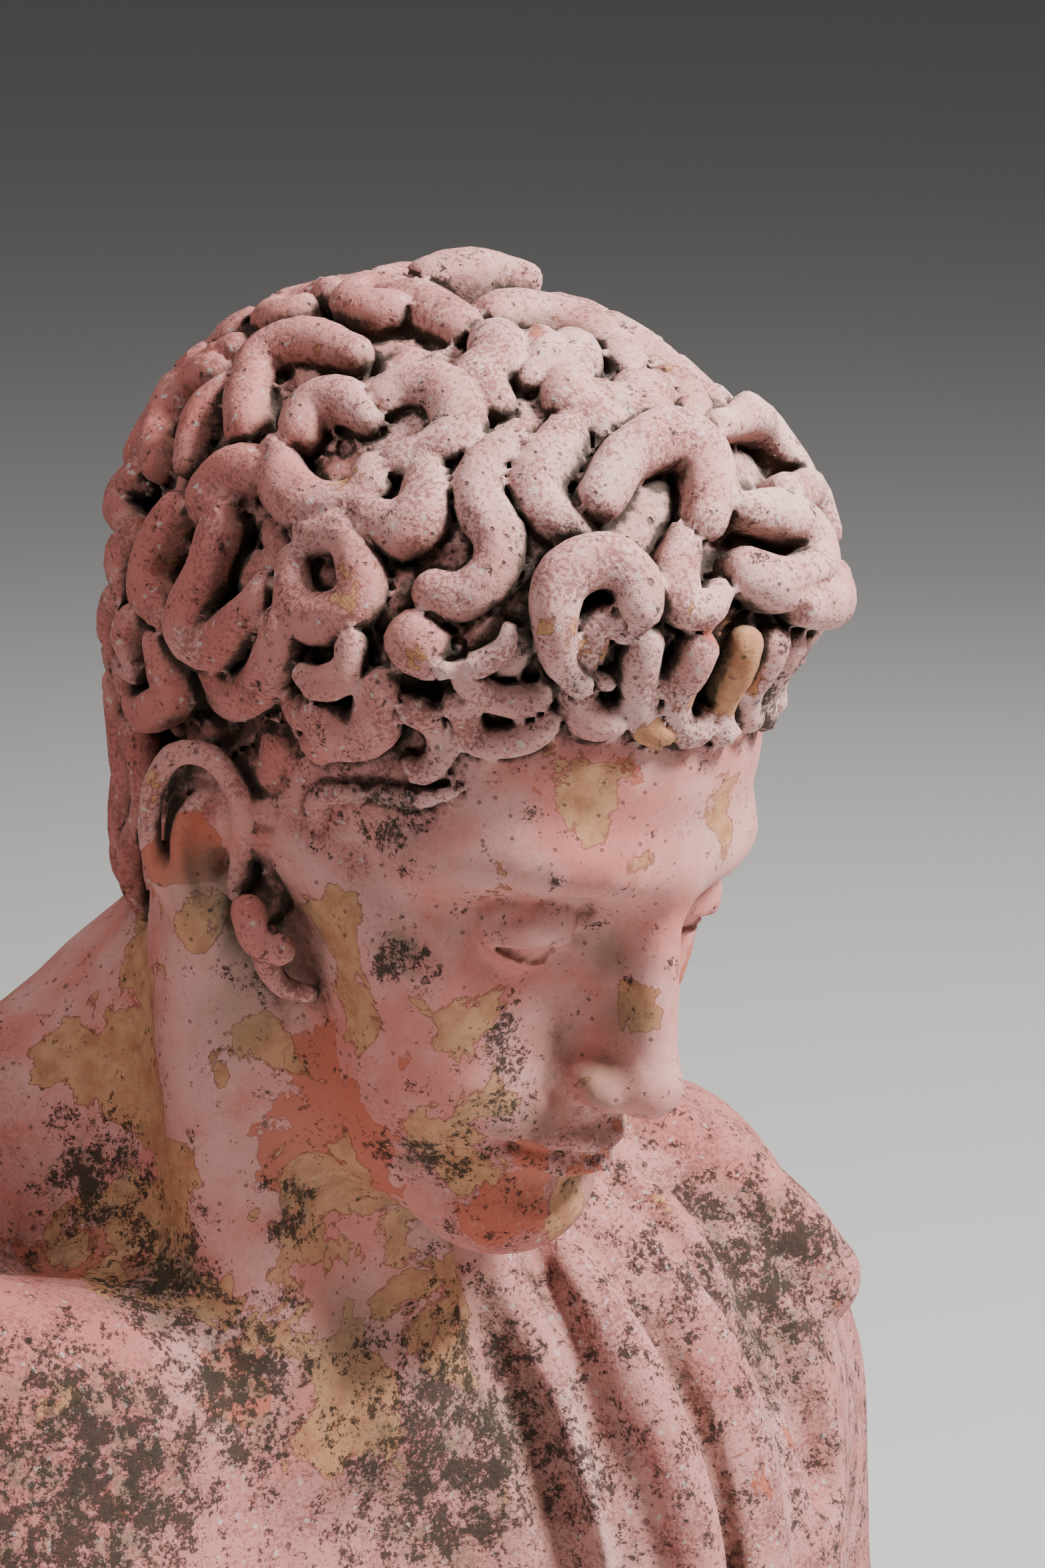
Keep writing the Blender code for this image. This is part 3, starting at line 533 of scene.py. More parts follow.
def curl(forms, place, longitude, latitude, ring, start, sweep, thick, tip, sink=0):
    """A curl that winds inwards round a place on the skull."""
    across, along = degrees_per_unit(longitude, latitude)
    steps = max(5, round(abs(sweep) / 25))
    points = []
    for step in range(steps + 1):
        share = step / steps
        angle = math.radians(start + sweep * share)
        wide = ring * (1 - 0.35 * share)
        points.append(hair_point(longitude + wide * math.cos(angle) * across,
                                 latitude + wide * math.sin(angle) * along,
                                 sink + thick + (tip - thick) * share))
    forms.strand(place, points, thick, tip, HAIR_BLEND, HAIR_CENTRE, "hair", bulge=CURL_SWELL)


def shape_hair(forms, head):
    """A plain cap, the lower curls, then the locks, from the right side round to the nape."""
    caps = (((0, 12, 56), (79, 96, 81)), ((0, -10, 92), (74, 80, 52)), ((0, 24, -10), (66, 62, 58)))
    for centre, radii in caps:
        forms.mass(head, centre, radii, blend=6, kind="hair")
    shape_under_curls(forms, head)
    for thick, tip, *stations in LOCKS + FRINGE:
        hair_lock(forms, head, stations, thick, tip)
    for thick, tip, *stations in PROUD_LOCKS:
        hair_lock(forms, head, stations, thick, tip, PROUD)
    for thick, tip, *stations in TEMPLE_LOCKS:
        forms.strand(head, smooth_path(stations, 4), thick, tip, HAIR_BLEND, kind="hair")
    shape_plain_curls(forms, head)
    shape_nape(forms, head)


def curl_places(chance, rows, spacing):
    """Longitudes and latitudes in staggered rows round the head, each moved a little by chance."""
    for row, latitude in enumerate(rows):
        across, _ = degrees_per_unit(90, latitude)
        count = max(3, round(360 / (spacing * across)))
        for step in range(count):
            yield -180 + 360 * (step + 0.5 * (row % 2)) / count + chance.uniform(-3, 3), latitude


def shape_under_curls(forms, head):
    """Lower curls that fill the gaps between the locks of the right side, crown and brow."""
    chance = random.Random(11)
    for longitude, latitude in curl_places(chance, UNDER_ROWS, UNDER_SPACING):
        ring, start = chance.uniform(7, 10), chance.uniform(0, 360)
        sweep = chance.choice((-1, 1)) * chance.uniform(180, 290)
        if -155 < longitude < 70 and latitude > hairline(longitude) + 6:
            curl(forms, head, longitude, latitude, ring, start, sweep, UNDER_THICK, UNDER_THICK - 1,
                 UNDER_SINK)


def shape_plain_curls(forms, head):
    """Rows of curls over the back, the left side and the crown, plainer than the right side."""
    chance = random.Random(7)
    for longitude, latitude in curl_places(chance, PLAIN_ROWS, PLAIN_SPACING):
        ring, start = chance.uniform(9.5, 14.5), chance.uniform(0, 360)
        sweep = chance.choice((-1, 1)) * chance.uniform(150, 265)
        follows_locks = -148 < longitude < 56 or latitude > 62
        if not follows_locks and latitude >= hairline(longitude) + 7:
            latitude += chance.uniform(-2, 2)
            curl(forms, head, longitude, latitude, ring, start, sweep, chance.uniform(6.2, 8), 4.4)


def shape_nape(forms, head):
    """Wavy locks hanging down the nape, from behind one ear to behind the other."""
    chance = random.Random(3)
    for step in range(NAPE_LOCKS):
        angle = math.radians(NAPE_START + NAPE_STEP * step)
        lean = chance.uniform(-3, 3)
        points = []
        for level, reach in ((2, 80), (-12, 75), (-26, 71), (-38, 69), (-50, 65), (-60, 54)):
            swing = angle + math.radians(4.5 * math.sin(level / 9 + step * 2.1) + lean * level / 40)
            points.append((math.sin(swing) * reach * 0.93, 19 + math.cos(swing) * reach, level))
        forms.strand(head, smooth_path(points, 3), 6.2, 4.6, HAIR_BLEND, kind="hair")


def shape_head(forms, head):
    """Skull, cheeks, jaw and chin, then brow, eyes, nose and mouth."""
    forms.mass(head, (0, 8, 42), (74, 94, 84), blend=14)
    forms.mass(head, (0, -18, 48), (68, 78, 62), blend=20)
    forms.mass(head, (0, -32, -22), (57, 55, 70), blend=20)
    forms.mass(head, (0, -81, -90), (20, 16, 15), blend=14)
    forms.mass(head, (0, -76, -58), (29, 25.5, 24), blend=16)
    forms.mass(head, (0, -87, -48), (15, 12, 12), blend=8)
    for side in (RIGHT, LEFT):
        forms.mass(head, (side * 41, -54, -16), (20, 23, 20), blend=18)
        forms.mass(head, (side * 30, -60, -46), (24, 24, 28), blend=18)
        jaw = both_sides([(52, 4, -48), (44, -20, -68), (14, -72, -86)], side)
        forms.strand(head, smooth_path(jaw, 4), 16, blend=18)
        zygoma = both_sides([(50, -44, -8), (68, -6, 2)], side)
        forms.strand(head, zygoma, 10, 8, 14)
    for side in (RIGHT, LEFT):
        brow = both_sides([(6, -92, 27), (24, -90.5, 30), (43, -78, 28), (57, -55, 18)], side)
        forms.strand(head, smooth_path(brow, 3), 8.5, 7, 14)
        forms.cut_mass(head, (side * 32, -102, 7), (21, 18, 14), turn=side * -8, blend=7)
    for side in (RIGHT, LEFT):
        shape_eye(forms, head, side)
    shape_nose(forms, head)
    shape_mouth(forms, head)


def shape_eye(forms, head, side):
    """Eyeball between an upper and a lower lid, looking down."""
    centre = (side * 31, -74.2, 6)
    forms.mass(head, centre, (12.4, 12.4, 12.4), blend=1.5)
    forms.add(Lid(head, centre, 16, -1.2, -0.020, 1), 1, "skin")
    forms.add(Lid(head, centre, 15.2, -8.4, 0.018, -1), 1.5, "skin")
    slit = both_sides([(19.5, -82, 2.5), (25, -86.2, 4), (31, -87.4, 4.4), (37, -86.2, 4),
                       (43, -81.5, 2)], side)
    forms.cut_strand(head, smooth_path(slit, 3), 1.2, 1.1, 1)
    crease = both_sides([(17, -85, 11), (24, -89.5, 16.5), (33, -90.5, 18.5), (42, -85, 15),
                         (47, -79, 9)], side)
    forms.cut_strand(head, smooth_path(crease, 3), 2.3, 1.7, 2)
    under = both_sides([(18, -84, -3), (30, -87.5, -8), (43, -80, -5)], side)
    forms.cut_strand(head, smooth_path(under, 3), 1.2, 1.0, 4)
    forms.cut_mass(head, (side * 16.5, -87, 3), (2.2, 4, 2.2), blend=3)


def shape_nose(forms, head):
    """Bridge, tip, wings and nostrils."""
    forms.strand(head, [(0, -91, 26), (0, -99, 4), (0, -108, -20), (0, -112.5, -31)], 7.6, 8.4, 7)
    forms.strand(head, [(0, -86, 14), (0, -90, -14), (0, -97, -36)], 8, 10, 8)
    forms.mass(head, (0, -111.5, -32.5), (9.4, 9.8, 9), blend=5)
    for side in (RIGHT, LEFT):
        forms.mass(head, (side * 10, -103.5, -36), (6.4, 10.2, 5.8), turn=side * 14, blend=6)
    for side in (RIGHT, LEFT):
        forms.cut_mass(head, (side * 6.4, -107.5, -43), (2.9, 6, 3), turn=side * 14, blend=2)
        wing = both_sides([(14, -110, -28), (18.5, -101, -29.5), (19.5, -95, -37), (17, -94, -43)], side)
        forms.cut_strand(head, smooth_path(wing, 3), 1.3, 1.3, 3)


def shape_mouth(forms, head):
    """Upper and lower lip, the line between them, and the hollows above and below."""
    for side in (RIGHT, LEFT):
        upper = both_sides([(0, -102, -57.6), (6, -101.6, -56.2), (15, -96, -58), (23.5, -87.5, -61)], side)
        forms.strand(head, smooth_path(upper, 3), 4.3, 2, 2.5)
        lower = both_sides([(0, -99.5, -66), (8, -98.5, -66), (16, -92.5, -64.6), (22, -87, -62)], side)
        forms.strand(head, smooth_path(lower, 3), 6, 2.2, 3)
        forms.cut_mass(head, (side * 26.5, -90, -61.8), (1.6, 2.4, 1.6), blend=5)
    for side in (RIGHT, LEFT):
        line = both_sides([(0, -105.2, -61.4), (8, -103.8, -60.8), (17, -97, -61.4), (25, -89, -61.8)], side)
        forms.cut_strand(head, smooth_path(line, 3), 2, 1.4, 1.2)
    forms.cut_strand(head, [(0, -102.5, -44.5), (0, -105.6, -53)], 1.8, 2.4, 4)
    for side in (RIGHT, LEFT):
        forms.cut_strand(head, both_sides([(0, -103.5, -77), (14, -98, -76)], side), 5, 3.5, 9)


def shape_ear(forms, head, side):
    """Helix, inner ridge, lobe and bowl, in the ear's own frame."""
    ear = (head @ Matrix.Translation((side * 74, 3, -9)) @ Matrix.Rotation(math.radians(side * -20), 4, 'Z')
           @ Matrix.Diagonal((side, 1, 1, 1)) @ Matrix.Rotation(math.radians(-8), 4, 'X'))
    forms.mass(ear, (0, 3, 2), (4.5, 14, 27), blend=5, kind="ear")
    forms.mass(ear, (2, -1, -25), (4.2, 8, 9), blend=5, kind="ear")
    helix = [(1, -8, -3), (4, -10, 8), (6, -7, 20), (7, 3, 28.5), (8, 14, 25), (8, 18, 12), (7, 17, -3),
             (5, 11, -16), (3, 3, -26)]
    forms.strand(ear, smooth_path(helix, 3), 3.8, 3.3, 2.5, kind="ear")
    forms.cut_mass(ear, (9, 0, -4), (8, 7.5, 11), blend=3)
    forms.cut_strand(ear, smooth_path([(8, 3, 21), (9, 11, 18), (9, 13.5, 6), (8, 12, -6)], 3), 2.6, 1.8, 2)
    forms.strand(ear, smooth_path([(4, 4, 16), (6, 9, 6), (5, 8, -8), (4, 2, -17)], 3), 2.7, 2.4, 2,
                 kind="ear")
    forms.mass(ear, (4, -10, -7), (3.6, 3.4, 6), blend=3, kind="ear")
    forms.cut_mass(ear, (3, -3, -5), (7, 4, 5.5), blend=2)


def shape_trunk(forms, trunk):
    """Rib cage, back, breast, shoulders, arms and collar bones."""
    forms.mass(trunk, (0, 28, -185), (160, 108, 215), blend=BROAD)
    forms.mass(trunk, (0, 45, -35), (130, 75, 85), blend=BROAD)
    for side in (RIGHT, LEFT):
        lift = SHOULDER_LIFT[side]
        forms.mass(trunk, (side * 76, -42, -118), (80, 45, 76), blend=40)
        forms.mass(trunk, (side * 85, -28, -22 + lift / 2), (76, 38, 52), blend=BROAD)
        forms.mass(trunk, (side * 72, -36, -66), (78, 42, 50), blend=40)
        forms.mass(trunk, (side * 172, 15, -40 + lift), (58, 64, 75), blend=BROAD)
        forms.mass(trunk, (side * 82, 85, -65), (72, 45, 110), blend=BROAD)
        arm = both_sides([(176, 15, -65 + lift), (186, 10, -175), (188, 0, ARM_END)], side)
        forms.strand(trunk, smooth_path(arm, 4), 56, 50, BROAD)
        ridge = both_sides([(12, 34, 87), (60, 40, 49 + lift / 2), (110, 32, 17 + lift),
                            (165, 18, 1 + lift)], side)
        forms.strand(trunk, smooth_path(ridge, 4), 38, 36, BROAD)
        bone = both_sides([(22, -50, -13), (70, -46, 1 + lift / 2), (125, -30, 13 + lift),
                           (165, 0, 15 + lift)], side)
        forms.strand(trunk, smooth_path(bone, 4), 11, 17, BROAD)


def shape_neck(forms, trunk, head):
    """The neck's column, and the muscle from behind each ear to the pit of the neck."""
    down = trunk.inverted() @ head
    nape = down @ Vector((0, 18, -40))
    forms.strand(trunk, [(0, 12, -35), nape], 66, 57, BROAD)
    for side in (RIGHT, LEFT):
        behind_ear = down @ Vector((side * 58, 20, -16))
        pit = NECK_PIT + Vector((side * 14, 6, -2))
        middle = (behind_ear + pit) / 2 + Vector((side * 12, -4, -4))
        forms.strand(trunk, smooth_path([behind_ear, middle, pit], 4), 18, 12, 24)


def shape_cloak(forms, trunk):
    """The cloth over the left shoulder and arm, its raised folds, then the valleys between them."""
    forms.mass(trunk, (158, 15, -70), (70, 84, 104), blend=14, kind="cloak")
    outer = [(176, 15, -65), (186, 5, -175), (186, 0, ARM_END)]
    forms.strand(trunk, smooth_path(outer, 4), 62, blend=BROAD, kind="cloak")
    for thick, tip, *stations in BANDS:
        forms.strand(trunk, smooth_path(stations, 4), thick, tip, BROAD, kind="cloak")
    for thick, *stations in FOLDS:
        forms.strand(trunk, smooth_path(stations, 5), thick, blend=FOLD_BLEND, kind="cloak")
    raise_outer_folds(forms, trunk)
    forms.finish()
    for thick, tip, stations in front_valleys(forms, trunk) + outer_valleys(forms, trunk):
        forms.cut_strand(trunk, smooth_path(stations, 4), thick, tip, blend=6)


def raise_outer_folds(forms, trunk):
    """Folds that hang round the outside of the cloaked arm."""
    for fold in range(OUTER_FOLDS):
        share = fold / (OUTER_FOLDS - 1)
        angle = math.radians(OUTER_START + OUTER_SPAN * share)
        lean = math.cos(angle), math.sin(angle)
        hem = 14 if fold % 2 else 10
        stations = [(150 + 40 * lean[0], 20 + 48 * lean[1], -14 * share),
                    (160 + 58 * lean[0], 18 + 66 * lean[1], -60),
                    (166 + 66 * lean[0], 12 + 70 * lean[1], -150),
                    (164 + 70 * lean[0], 6 + 70 * lean[1], ARM_END)]
        forms.strand(trunk, smooth_path(stations, 5), hem, blend=FOLD_BLEND, kind="cloak")


def front_valleys(forms, trunk):
    """The valleys between the folds in front, with their stations moved onto the cloak."""
    reach = FRONTWARDS * FRONT_SEARCH
    return [(thick, tip, [on_surface(forms, trunk, Vector(spot) + reach, Vector(spot) - reach)
                          for spot in stations]) for thick, tip, *stations in VALLEYS]


def outer_valleys(forms, trunk):
    """A wavering valley between each two outer folds."""
    valleys = []
    for fold in range(OUTER_FOLDS):
        turn = OUTER_VALLEY_START + OUTER_VALLEY_SPAN * (fold + 0.5) / OUTER_FOLDS
        stations = []
        for level in VALLEY_LEVELS:
            angle = math.radians(turn + 5 * math.sin(level / 45 + fold * 1.9))
            middle = Vector((150, 12, level))
            outwards = Vector((math.cos(angle), math.sin(angle), 0))
            stations.append(on_surface(forms, trunk, middle + outwards * OUTER_SEARCH, middle))
        valleys.append((1, 9 if fold % 3 else 7, stations))
    return valleys


def on_surface(forms, place, start, end):
    """Where a line from start to end, in a frame's units, first meets the forms so far."""
    share = np.linspace(0, 1, SEARCH_STEPS)[:, None]
    line = np.array(place @ start) * (1 - share) + np.array(place @ end) * share
    inside = np.flatnonzero(forms.distance(line.astype(np.float32)) < 0)
    return start.lerp(end, float(share[inside[0], 0])) if inside.size else end


def all_forms():
    """Everything that makes up the bust, in the order in which it is carved."""
    head, trunk = head_frame(), trunk_frame()
    forms = Forms()
    shape_trunk(forms, trunk)
    shape_neck(forms, trunk, head)
    shape_head(forms, head)
    for side in (RIGHT, LEFT):
        shape_ear(forms, head, side)
    shape_cloak(forms, trunk)
    shape_hair(forms, head)
    forms.finish()
    return forms


# The surface

def regions(cells):
    """The indices of the cells, in one array for each whole cell."""
    key = cells @ np.array((1, 1000, 1000000))
    order = np.argsort(key, kind='stable')
    return np.split(order, np.flatnonzero(np.diff(key[order])) + 1)


def volume_of(forms, step):
    """Distances on a grid, worked out only in the blocks that the surface passes."""
    size = BLOCK * step
    count = np.ceil((GRID_HIGH - GRID_LOW) / size).astype(int)
    corner = np.stack(np.meshgrid(*[np.arange(n) for n in count], indexing='ij'), axis=-1).reshape(-1, 3)
    middles = ((corner + 0.5) * size + GRID_LOW).astype(np.float32)
    coarse = np.empty(len(corner), dtype=np.float32)
    inner = np.stack(np.meshgrid(*[np.arange(BLOCK)] * 3, indexing='ij'), axis=-1).reshape(-1, 3)
    reach = size * BLOCK_REACH

    def fill(part):
        middle = forms.distance(middles[part])
        coarse[part] = middle
        near = part[np.abs(middle) < reach]
        if not near.size:
            return None
        cells = (corner[near][:, None] * BLOCK + inner[None]).reshape(-1, 3)
        return cells, forms.distance((cells * step + GRID_LOW).astype(np.float32))

    with ThreadPoolExecutor(THREADS) as pool:
        found = list(pool.map(fill, regions(corner // REGION)))
    rough = np.clip(coarse, -BAND * step, BAND * step).reshape(count)
    whole = np.repeat(np.repeat(np.repeat(rough, BLOCK, 0), BLOCK, 1), BLOCK, 2)
    for cells, values in filter(None, found):
        whole[cells[:, 0], cells[:, 1], cells[:, 2]] = np.clip(values, -BAND * step, BAND * step)
    return whole


def mesh_of(whole, step, name):
    """The surface where the distances on the grid are nought."""
    grid = openvdb.FloatGrid(BAND * step)
    grid.copyFromArray(whole, tolerance=0)
    points, triangles, quads = grid.convertToPolygons(0.0, 0.0)
    mesh = bpy.data.meshes.new(name)
    mesh.vertices.add(len(points))
    mesh.vertices.foreach_set("co", (points * step + GRID_LOW).astype(np.float32).ravel())
    loops = np.concatenate([quads[:, ::-1].ravel(), triangles[:, ::-1].ravel()]).astype(np.int32)
    starts = np.concatenate([np.arange(len(quads)) * 4,
                             len(quads) * 4 + np.arange(len(triangles)) * 3]).astype(np.int32)
    mesh.loops.add(len(loops))
    mesh.loops.foreach_set("vertex_index", loops)
    mesh.polygons.add(len(starts))
    mesh.polygons.foreach_set("loop_start", starts)
    mesh.update(calc_edges=True)
    mesh.validate()
    return mesh


def evaluated(holder):
    return bpy.data.meshes.new_from_object(holder.evaluated_get(bpy.context.evaluated_depsgraph_get()))


def linked(name, mesh):
    item = bpy.data.objects.new(name, mesh)
    bpy.context.scene.collection.objects.link(item)
    return item


def worn(mesh, sizes):
    """Thins the mesh, least in the face, and gives it the unevenness of weathered stone."""
    holder = linked("carving", mesh)
    thin = holder.modifiers.new("thin", 'DECIMATE')
    thin.ratio = min(1.0, sizes.faces / sum(len(face.vertices) - 2 for face in mesh.polygons))
    away = holder.vertex_groups.new(name="away_from_face")
    back = head_frame().inverted()
    off = points_of(mesh) @ np.array(back, dtype=np.float32)[:3, :3].T
    off += np.array(back.translation, dtype=np.float32)
    spared = (np.abs(off - np.array(FACE_CENTRE)) < np.array(FACE_REACH)).all(axis=1)
    away.add(np.flatnonzero(~spared).tolist(), 1.0, 'REPLACE')
    away.add(np.flatnonzero(spared).tolist(), FACE_SHARE, 'REPLACE')
    thin.vertex_group = away.name
    thin.vertex_group_factor = 1.0
    for name, width, depth in WEARS:
        texture = bpy.data.textures.new(name, 'CLOUDS')
        texture.noise_scale = sizes.wear_size * width
        texture.noise_depth = 2
        wear = holder.modifiers.new(name, 'DISPLACE')
        wear.texture = texture
        wear.texture_coords = 'LOCAL'
        wear.strength = sizes.wear_depth * depth
        wear.mid_level = 0.5
    result = evaluated(holder)
    bpy.data.objects.remove(holder)
    bpy.data.meshes.remove(mesh)
    return result


def stood_flat(mesh, name):
    """The mesh cut off at the ground and closed there by a flat face with a sharp rim."""
    body = bmesh.new()
    body.from_mesh(mesh)
    everything = body.verts[:] + body.edges[:] + body.faces[:]
    found = bmesh.ops.bisect_plane(body, geom=everything, dist=1e-7, plane_co=(0, 0, 0), plane_no=(0, 0, 1),
                                   clear_inner=True)
    rim = [part for part in found["geom_cut"] if isinstance(part, bmesh.types.BMEdge)]
    caps = bmesh.ops.holes_fill(body, edges=rim, sides=0)["faces"]
    for edge in rim:
        edge.smooth = False
    for cap in bmesh.ops.triangulate(body, faces=caps)["faces"]:
        cap.smooth = False
    keep_largest(body)
    bmesh.ops.recalc_face_normals(body, faces=body.faces)
    whole = bpy.data.meshes.new(name)
    body.to_mesh(whole)
    body.free()
    return whole


def keep_largest(body):
    """Deletes every shell of faces but the one with the most."""
    waiting = set(body.faces)
    largest = set()
    while waiting:
        seed = waiting.pop()
        found, front = {seed}, [seed]
        while front:
            for edge in front.pop().edges:
                for other in edge.link_faces:
                    if other in waiting:
                        waiting.discard(other)
                        found.add(other)
                        front.append(other)
        if len(found) > len(largest):
            largest = found
    bmesh.ops.delete(body, geom=[face for face in body.faces if face not in largest], context='FACES')


def points_of(mesh):
    flat = np.empty(len(mesh.vertices) * 3, dtype=np.float32)
    mesh.vertices.foreach_get("co", flat)
    return flat.reshape(-1, 3)


def store(mesh, name, values):
    mesh.attributes.new(name, 'FLOAT', 'POINT').data.foreach_set("value", values.astype(np.float32))


def in_turns(work, points):
    """Runs work on the points of one region after another, and puts the results back in order."""
    out = np.empty(len(points), dtype=np.float32)

    def one(part):
        out[part] = work(points[part])

    with ThreadPoolExecutor(THREADS) as pool:
        list(pool.map(one, regions(np.floor(points / REGION_SIZE).astype(int))))
    return out


def rising(values, start, width):
    """0 up to a start, 1 from a width beyond it, and a straight rise between."""
    return np.clip((values - start) / width, 0, 1)


def mark_surface(mesh, forms):
    """Stores how sheltered each point is, which part of the bust it belongs to, how pale it is with painted
    light on the side towards the key light, and its stains.
    """
    points = points_of(mesh)
    normals = np.empty(len(points) * 3, dtype=np.float32)
    mesh.vertex_normals.foreach_get("vector", normals)
    normals = normals.reshape(-1, 3)
    for name, reach in OUTLOOKS:
        open_way = in_turns(forms.distance, points + normals * np.float32(reach)) / reach
        store(mesh, name, np.clip(1 - open_way, 0, 1))
    under = in_turns(forms.distance, points - normals * np.float32(RAISED_DEPTH)) / RAISED_DEPTH
    store(mesh, "raised", np.clip(RAISED_GAIN * (1 + under), 0, 1))

    def distance_to(kind):
        return in_turns(lambda part: forms.nearest(part, kind), points)

    skin = distance_to("skin")
    hair, cloak = (np.clip(0.5 + (skin - distance_to(kind)) / PART_EDGE, 0, 1) for kind in ("hair", "cloak"))
    level = points[:, 2]
    off_neck = np.hypot(points[:, 0] - NECK_AXIS[0], points[:, 1] - NECK_AXIS[1])
    neck = rising(-off_neck, -NECK_RADIUS, NECK_EDGE) * rising(level, NECK_FOOT, NECK_RISE)
    high = np.maximum(neck, rising(level, HEAD_FOOT, HEAD_RISE))
    store(mesh, "coat", (1 - hair) * (1 - cloak) * high)
    # Painted light: the side of the head that faces the key light is made paler
    way = points - np.array(head_frame() @ HAIR_CENTRE, dtype=np.float32)
    way /= np.linalg.norm(way, axis=1)[:, None]
    front = PALE_EVERYWHERE + PALE_SIDE * (way @ np.array(PAINTED_LIGHT_SIDE, dtype=np.float32))
    front = np.clip(front, 0, 1)
    chest = rising(-level, -CHEST_TOP, CHEST_RISE) * (PALE_CHEST + PALE_CLOAK * cloak)
    store(mesh, "pale", np.maximum(front * (level > CHEST_TOP), chest))
    for name, spots in STAINS.items():
        amount = np.zeros(len(points), dtype=np.float32)
        for *place, reach in spots:
            off = np.linalg.norm(points * 1000 - np.array(place, dtype=np.float32), axis=1)
            amount = np.maximum(amount, np.clip(SPREAD - off / reach, 0, 1))
        if name == "soil":
            amount = np.maximum(amount, SOIL_EVERYWHERE + SOIL_CLOAK * cloak + SOIL_BODY * (1 - high))
        store(mesh, name, amount)


class BUST_OT_carve(bpy.types.Operator):
    """Carve the head and the trunk in one, with all their locks and folds"""
    bl_idname = "bust.carve"
    bl_label = "Carve Bust"

    def execute(self, context):
        sizes = context.scene.bust_sizes
        forms = all_forms()
        rough = worn(mesh_of(volume_of(forms, sizes.grid_step), sizes.grid_step, "carving"), sizes)
        mesh = stood_flat(rough, PIECE)
        bpy.data.meshes.remove(rough)
        mark_surface(mesh, forms)
        mesh.materials.append(weathered_stone(context.scene.bust_colours))
        piece = linked(PIECE, mesh)
        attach(piece, "root")
        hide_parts("bust")
        return {'FINISHED'}


# Materials

def add_node(tree, kind, inputs=None, **settings):
    """A node with its settings made and its inputs linked or set."""
    node = tree.nodes.new(kind)
    for key, value in settings.items():
        setattr(node, key, value)
    for key, value in (inputs or {}).items():
        feed(tree, node.inputs[key], value)
    return node


def feed(tree, socket, value):
    """Links a socket to another node's output, or sets it to a fixed value."""
    if hasattr(value, "is_output"):
        tree.links.new(value, socket)
    else:
        socket.default_value = value


def calc(tree, operation, *values, clamp=False):
    return add_node(tree, 'ShaderNodeMath', dict(enumerate(values)), operation=operation,
                    use_clamp=clamp).outputs[0]


def vector_calc(tree, operation, one, other):
    return add_node(tree, 'ShaderNodeVectorMath', {0: one, 1: other}, operation=operation).outputs[0]


def plus(tree, one, other, clamp=False):
    return calc(tree, 'ADD', one, other, clamp=clamp)


def less(tree, one, other):
    return calc(tree, 'SUBTRACT', one, other)


def times(tree, one, other):
    return calc(tree, 'MULTIPLY', one, other)


def noise(tree, vector, scale, detail, roughness, distortion=0.0):
    return add_node(tree, 'ShaderNodeTexNoise', {"Vector": vector, "Scale": scale, "Detail": detail,
                                                 "Roughness": roughness, "Distortion": distortion}).outputs[0]


def ramp(tree, value, low, high):
    """0 below low, 1 above high, smooth in between."""
    return add_node(tree, 'ShaderNodeMapRange', {"Value": value, "From Min": low, "From Max": high},
                    interpolation_type='SMOOTHSTEP').outputs[0]


def blended(tree, share, under, over):
    """A share of one colour laid over another. Inputs 6 and 7 and output 2 are the node's colours."""
    node = add_node(tree, 'ShaderNodeMix', {0: share}, data_type='RGBA')
    for index, value in ((6, under), (7, over)):
        feed(tree, node.inputs[index], value if hasattr(value, "is_output") else (*value, 1))
    return node.outputs[2]


def measured(tree, name):
    """One of the attributes that mark_surface stores."""
    return add_node(tree, 'ShaderNodeAttribute', attribute_name=name).outputs["Fac"]


def new_group(name, inputs, outputs):
    """An empty shader node group, with its inputs' and outputs' sockets."""
    tree = bpy.data.node_groups.new(name, 'ShaderNodeTree')
    for label in inputs:
        kind = 'NodeSocketVector' if label == "Vector" else 'NodeSocketFloat'
        tree.interface.new_socket(label, in_out='INPUT', socket_type=kind)
    for label in outputs:
        tree.interface.new_socket(label, in_out='OUTPUT', socket_type='NodeSocketFloat')
    return tree, tree.nodes.new('NodeGroupInput').outputs, tree.nodes.new('NodeGroupOutput').inputs


def placed(tree, group, inputs):
    return add_node(tree, 'ShaderNodeGroup', inputs, node_tree=group).outputs


def cells(tree, vector, scale, size, rarity):
    """Small round marks in some cells of a Voronoi pattern."""
    node = add_node(tree, 'ShaderNodeTexVoronoi', {"Vector": vector, "Scale": scale})
    red = add_node(tree, 'ShaderNodeSeparateColor', {"Color": node.outputs["Color"]}).outputs[0]
    chosen = ramp(tree, red, rarity, rarity + 0.01)
    near = less(tree, 1.0, ramp(tree, node.outputs["Distance"], size * 0.6, size))
    return times(tree, near, chosen)


def stone_grain_group():
    """Speckle of darker grains, pale grit, open pores and the height of them all."""
    tree, given, out = new_group("stone_grain", ("Vector",), ("Speckle", "Grit", "Pore", "Height"))
    vector = given["Vector"]
    drift = times(tree, less(tree, noise(tree, vector, 70, 4, 0.6), 0.5), 0.7)
    grain = noise(tree, vector, 760, 3, 0.7)
    tree.links.new(ramp(tree, plus(tree, grain, drift), 0.50, 0.63), out["Speckle"])
    shifts = add_node(tree, 'ShaderNodeTexNoise', {"Vector": vector, "Scale": 400.0, "Detail": 3.0})
    bent = vector_calc(tree, 'MULTIPLY', shifts.outputs["Color"], (0.004, 0.004, 0.004))
    bent = vector_calc(tree, 'ADD', vector, bent)
    grit = cells(tree, bent, 330, 0.36, 0.80)
    pore = calc(tree, 'MAXIMUM', cells(tree, vector, 330, 0.26, 0.86), cells(tree, vector, 120, 0.16, 0.90))
    tree.links.new(grit, out["Grit"])
    tree.links.new(pore, out["Pore"])
    height = less(tree, times(tree, grain, 0.35), times(tree, pore, 0.7))
    broad = times(tree, noise(tree, vector, 260, 5, 0.6), 0.8)
    tree.links.new(plus(tree, height, broad), out["Height"])
    return tree


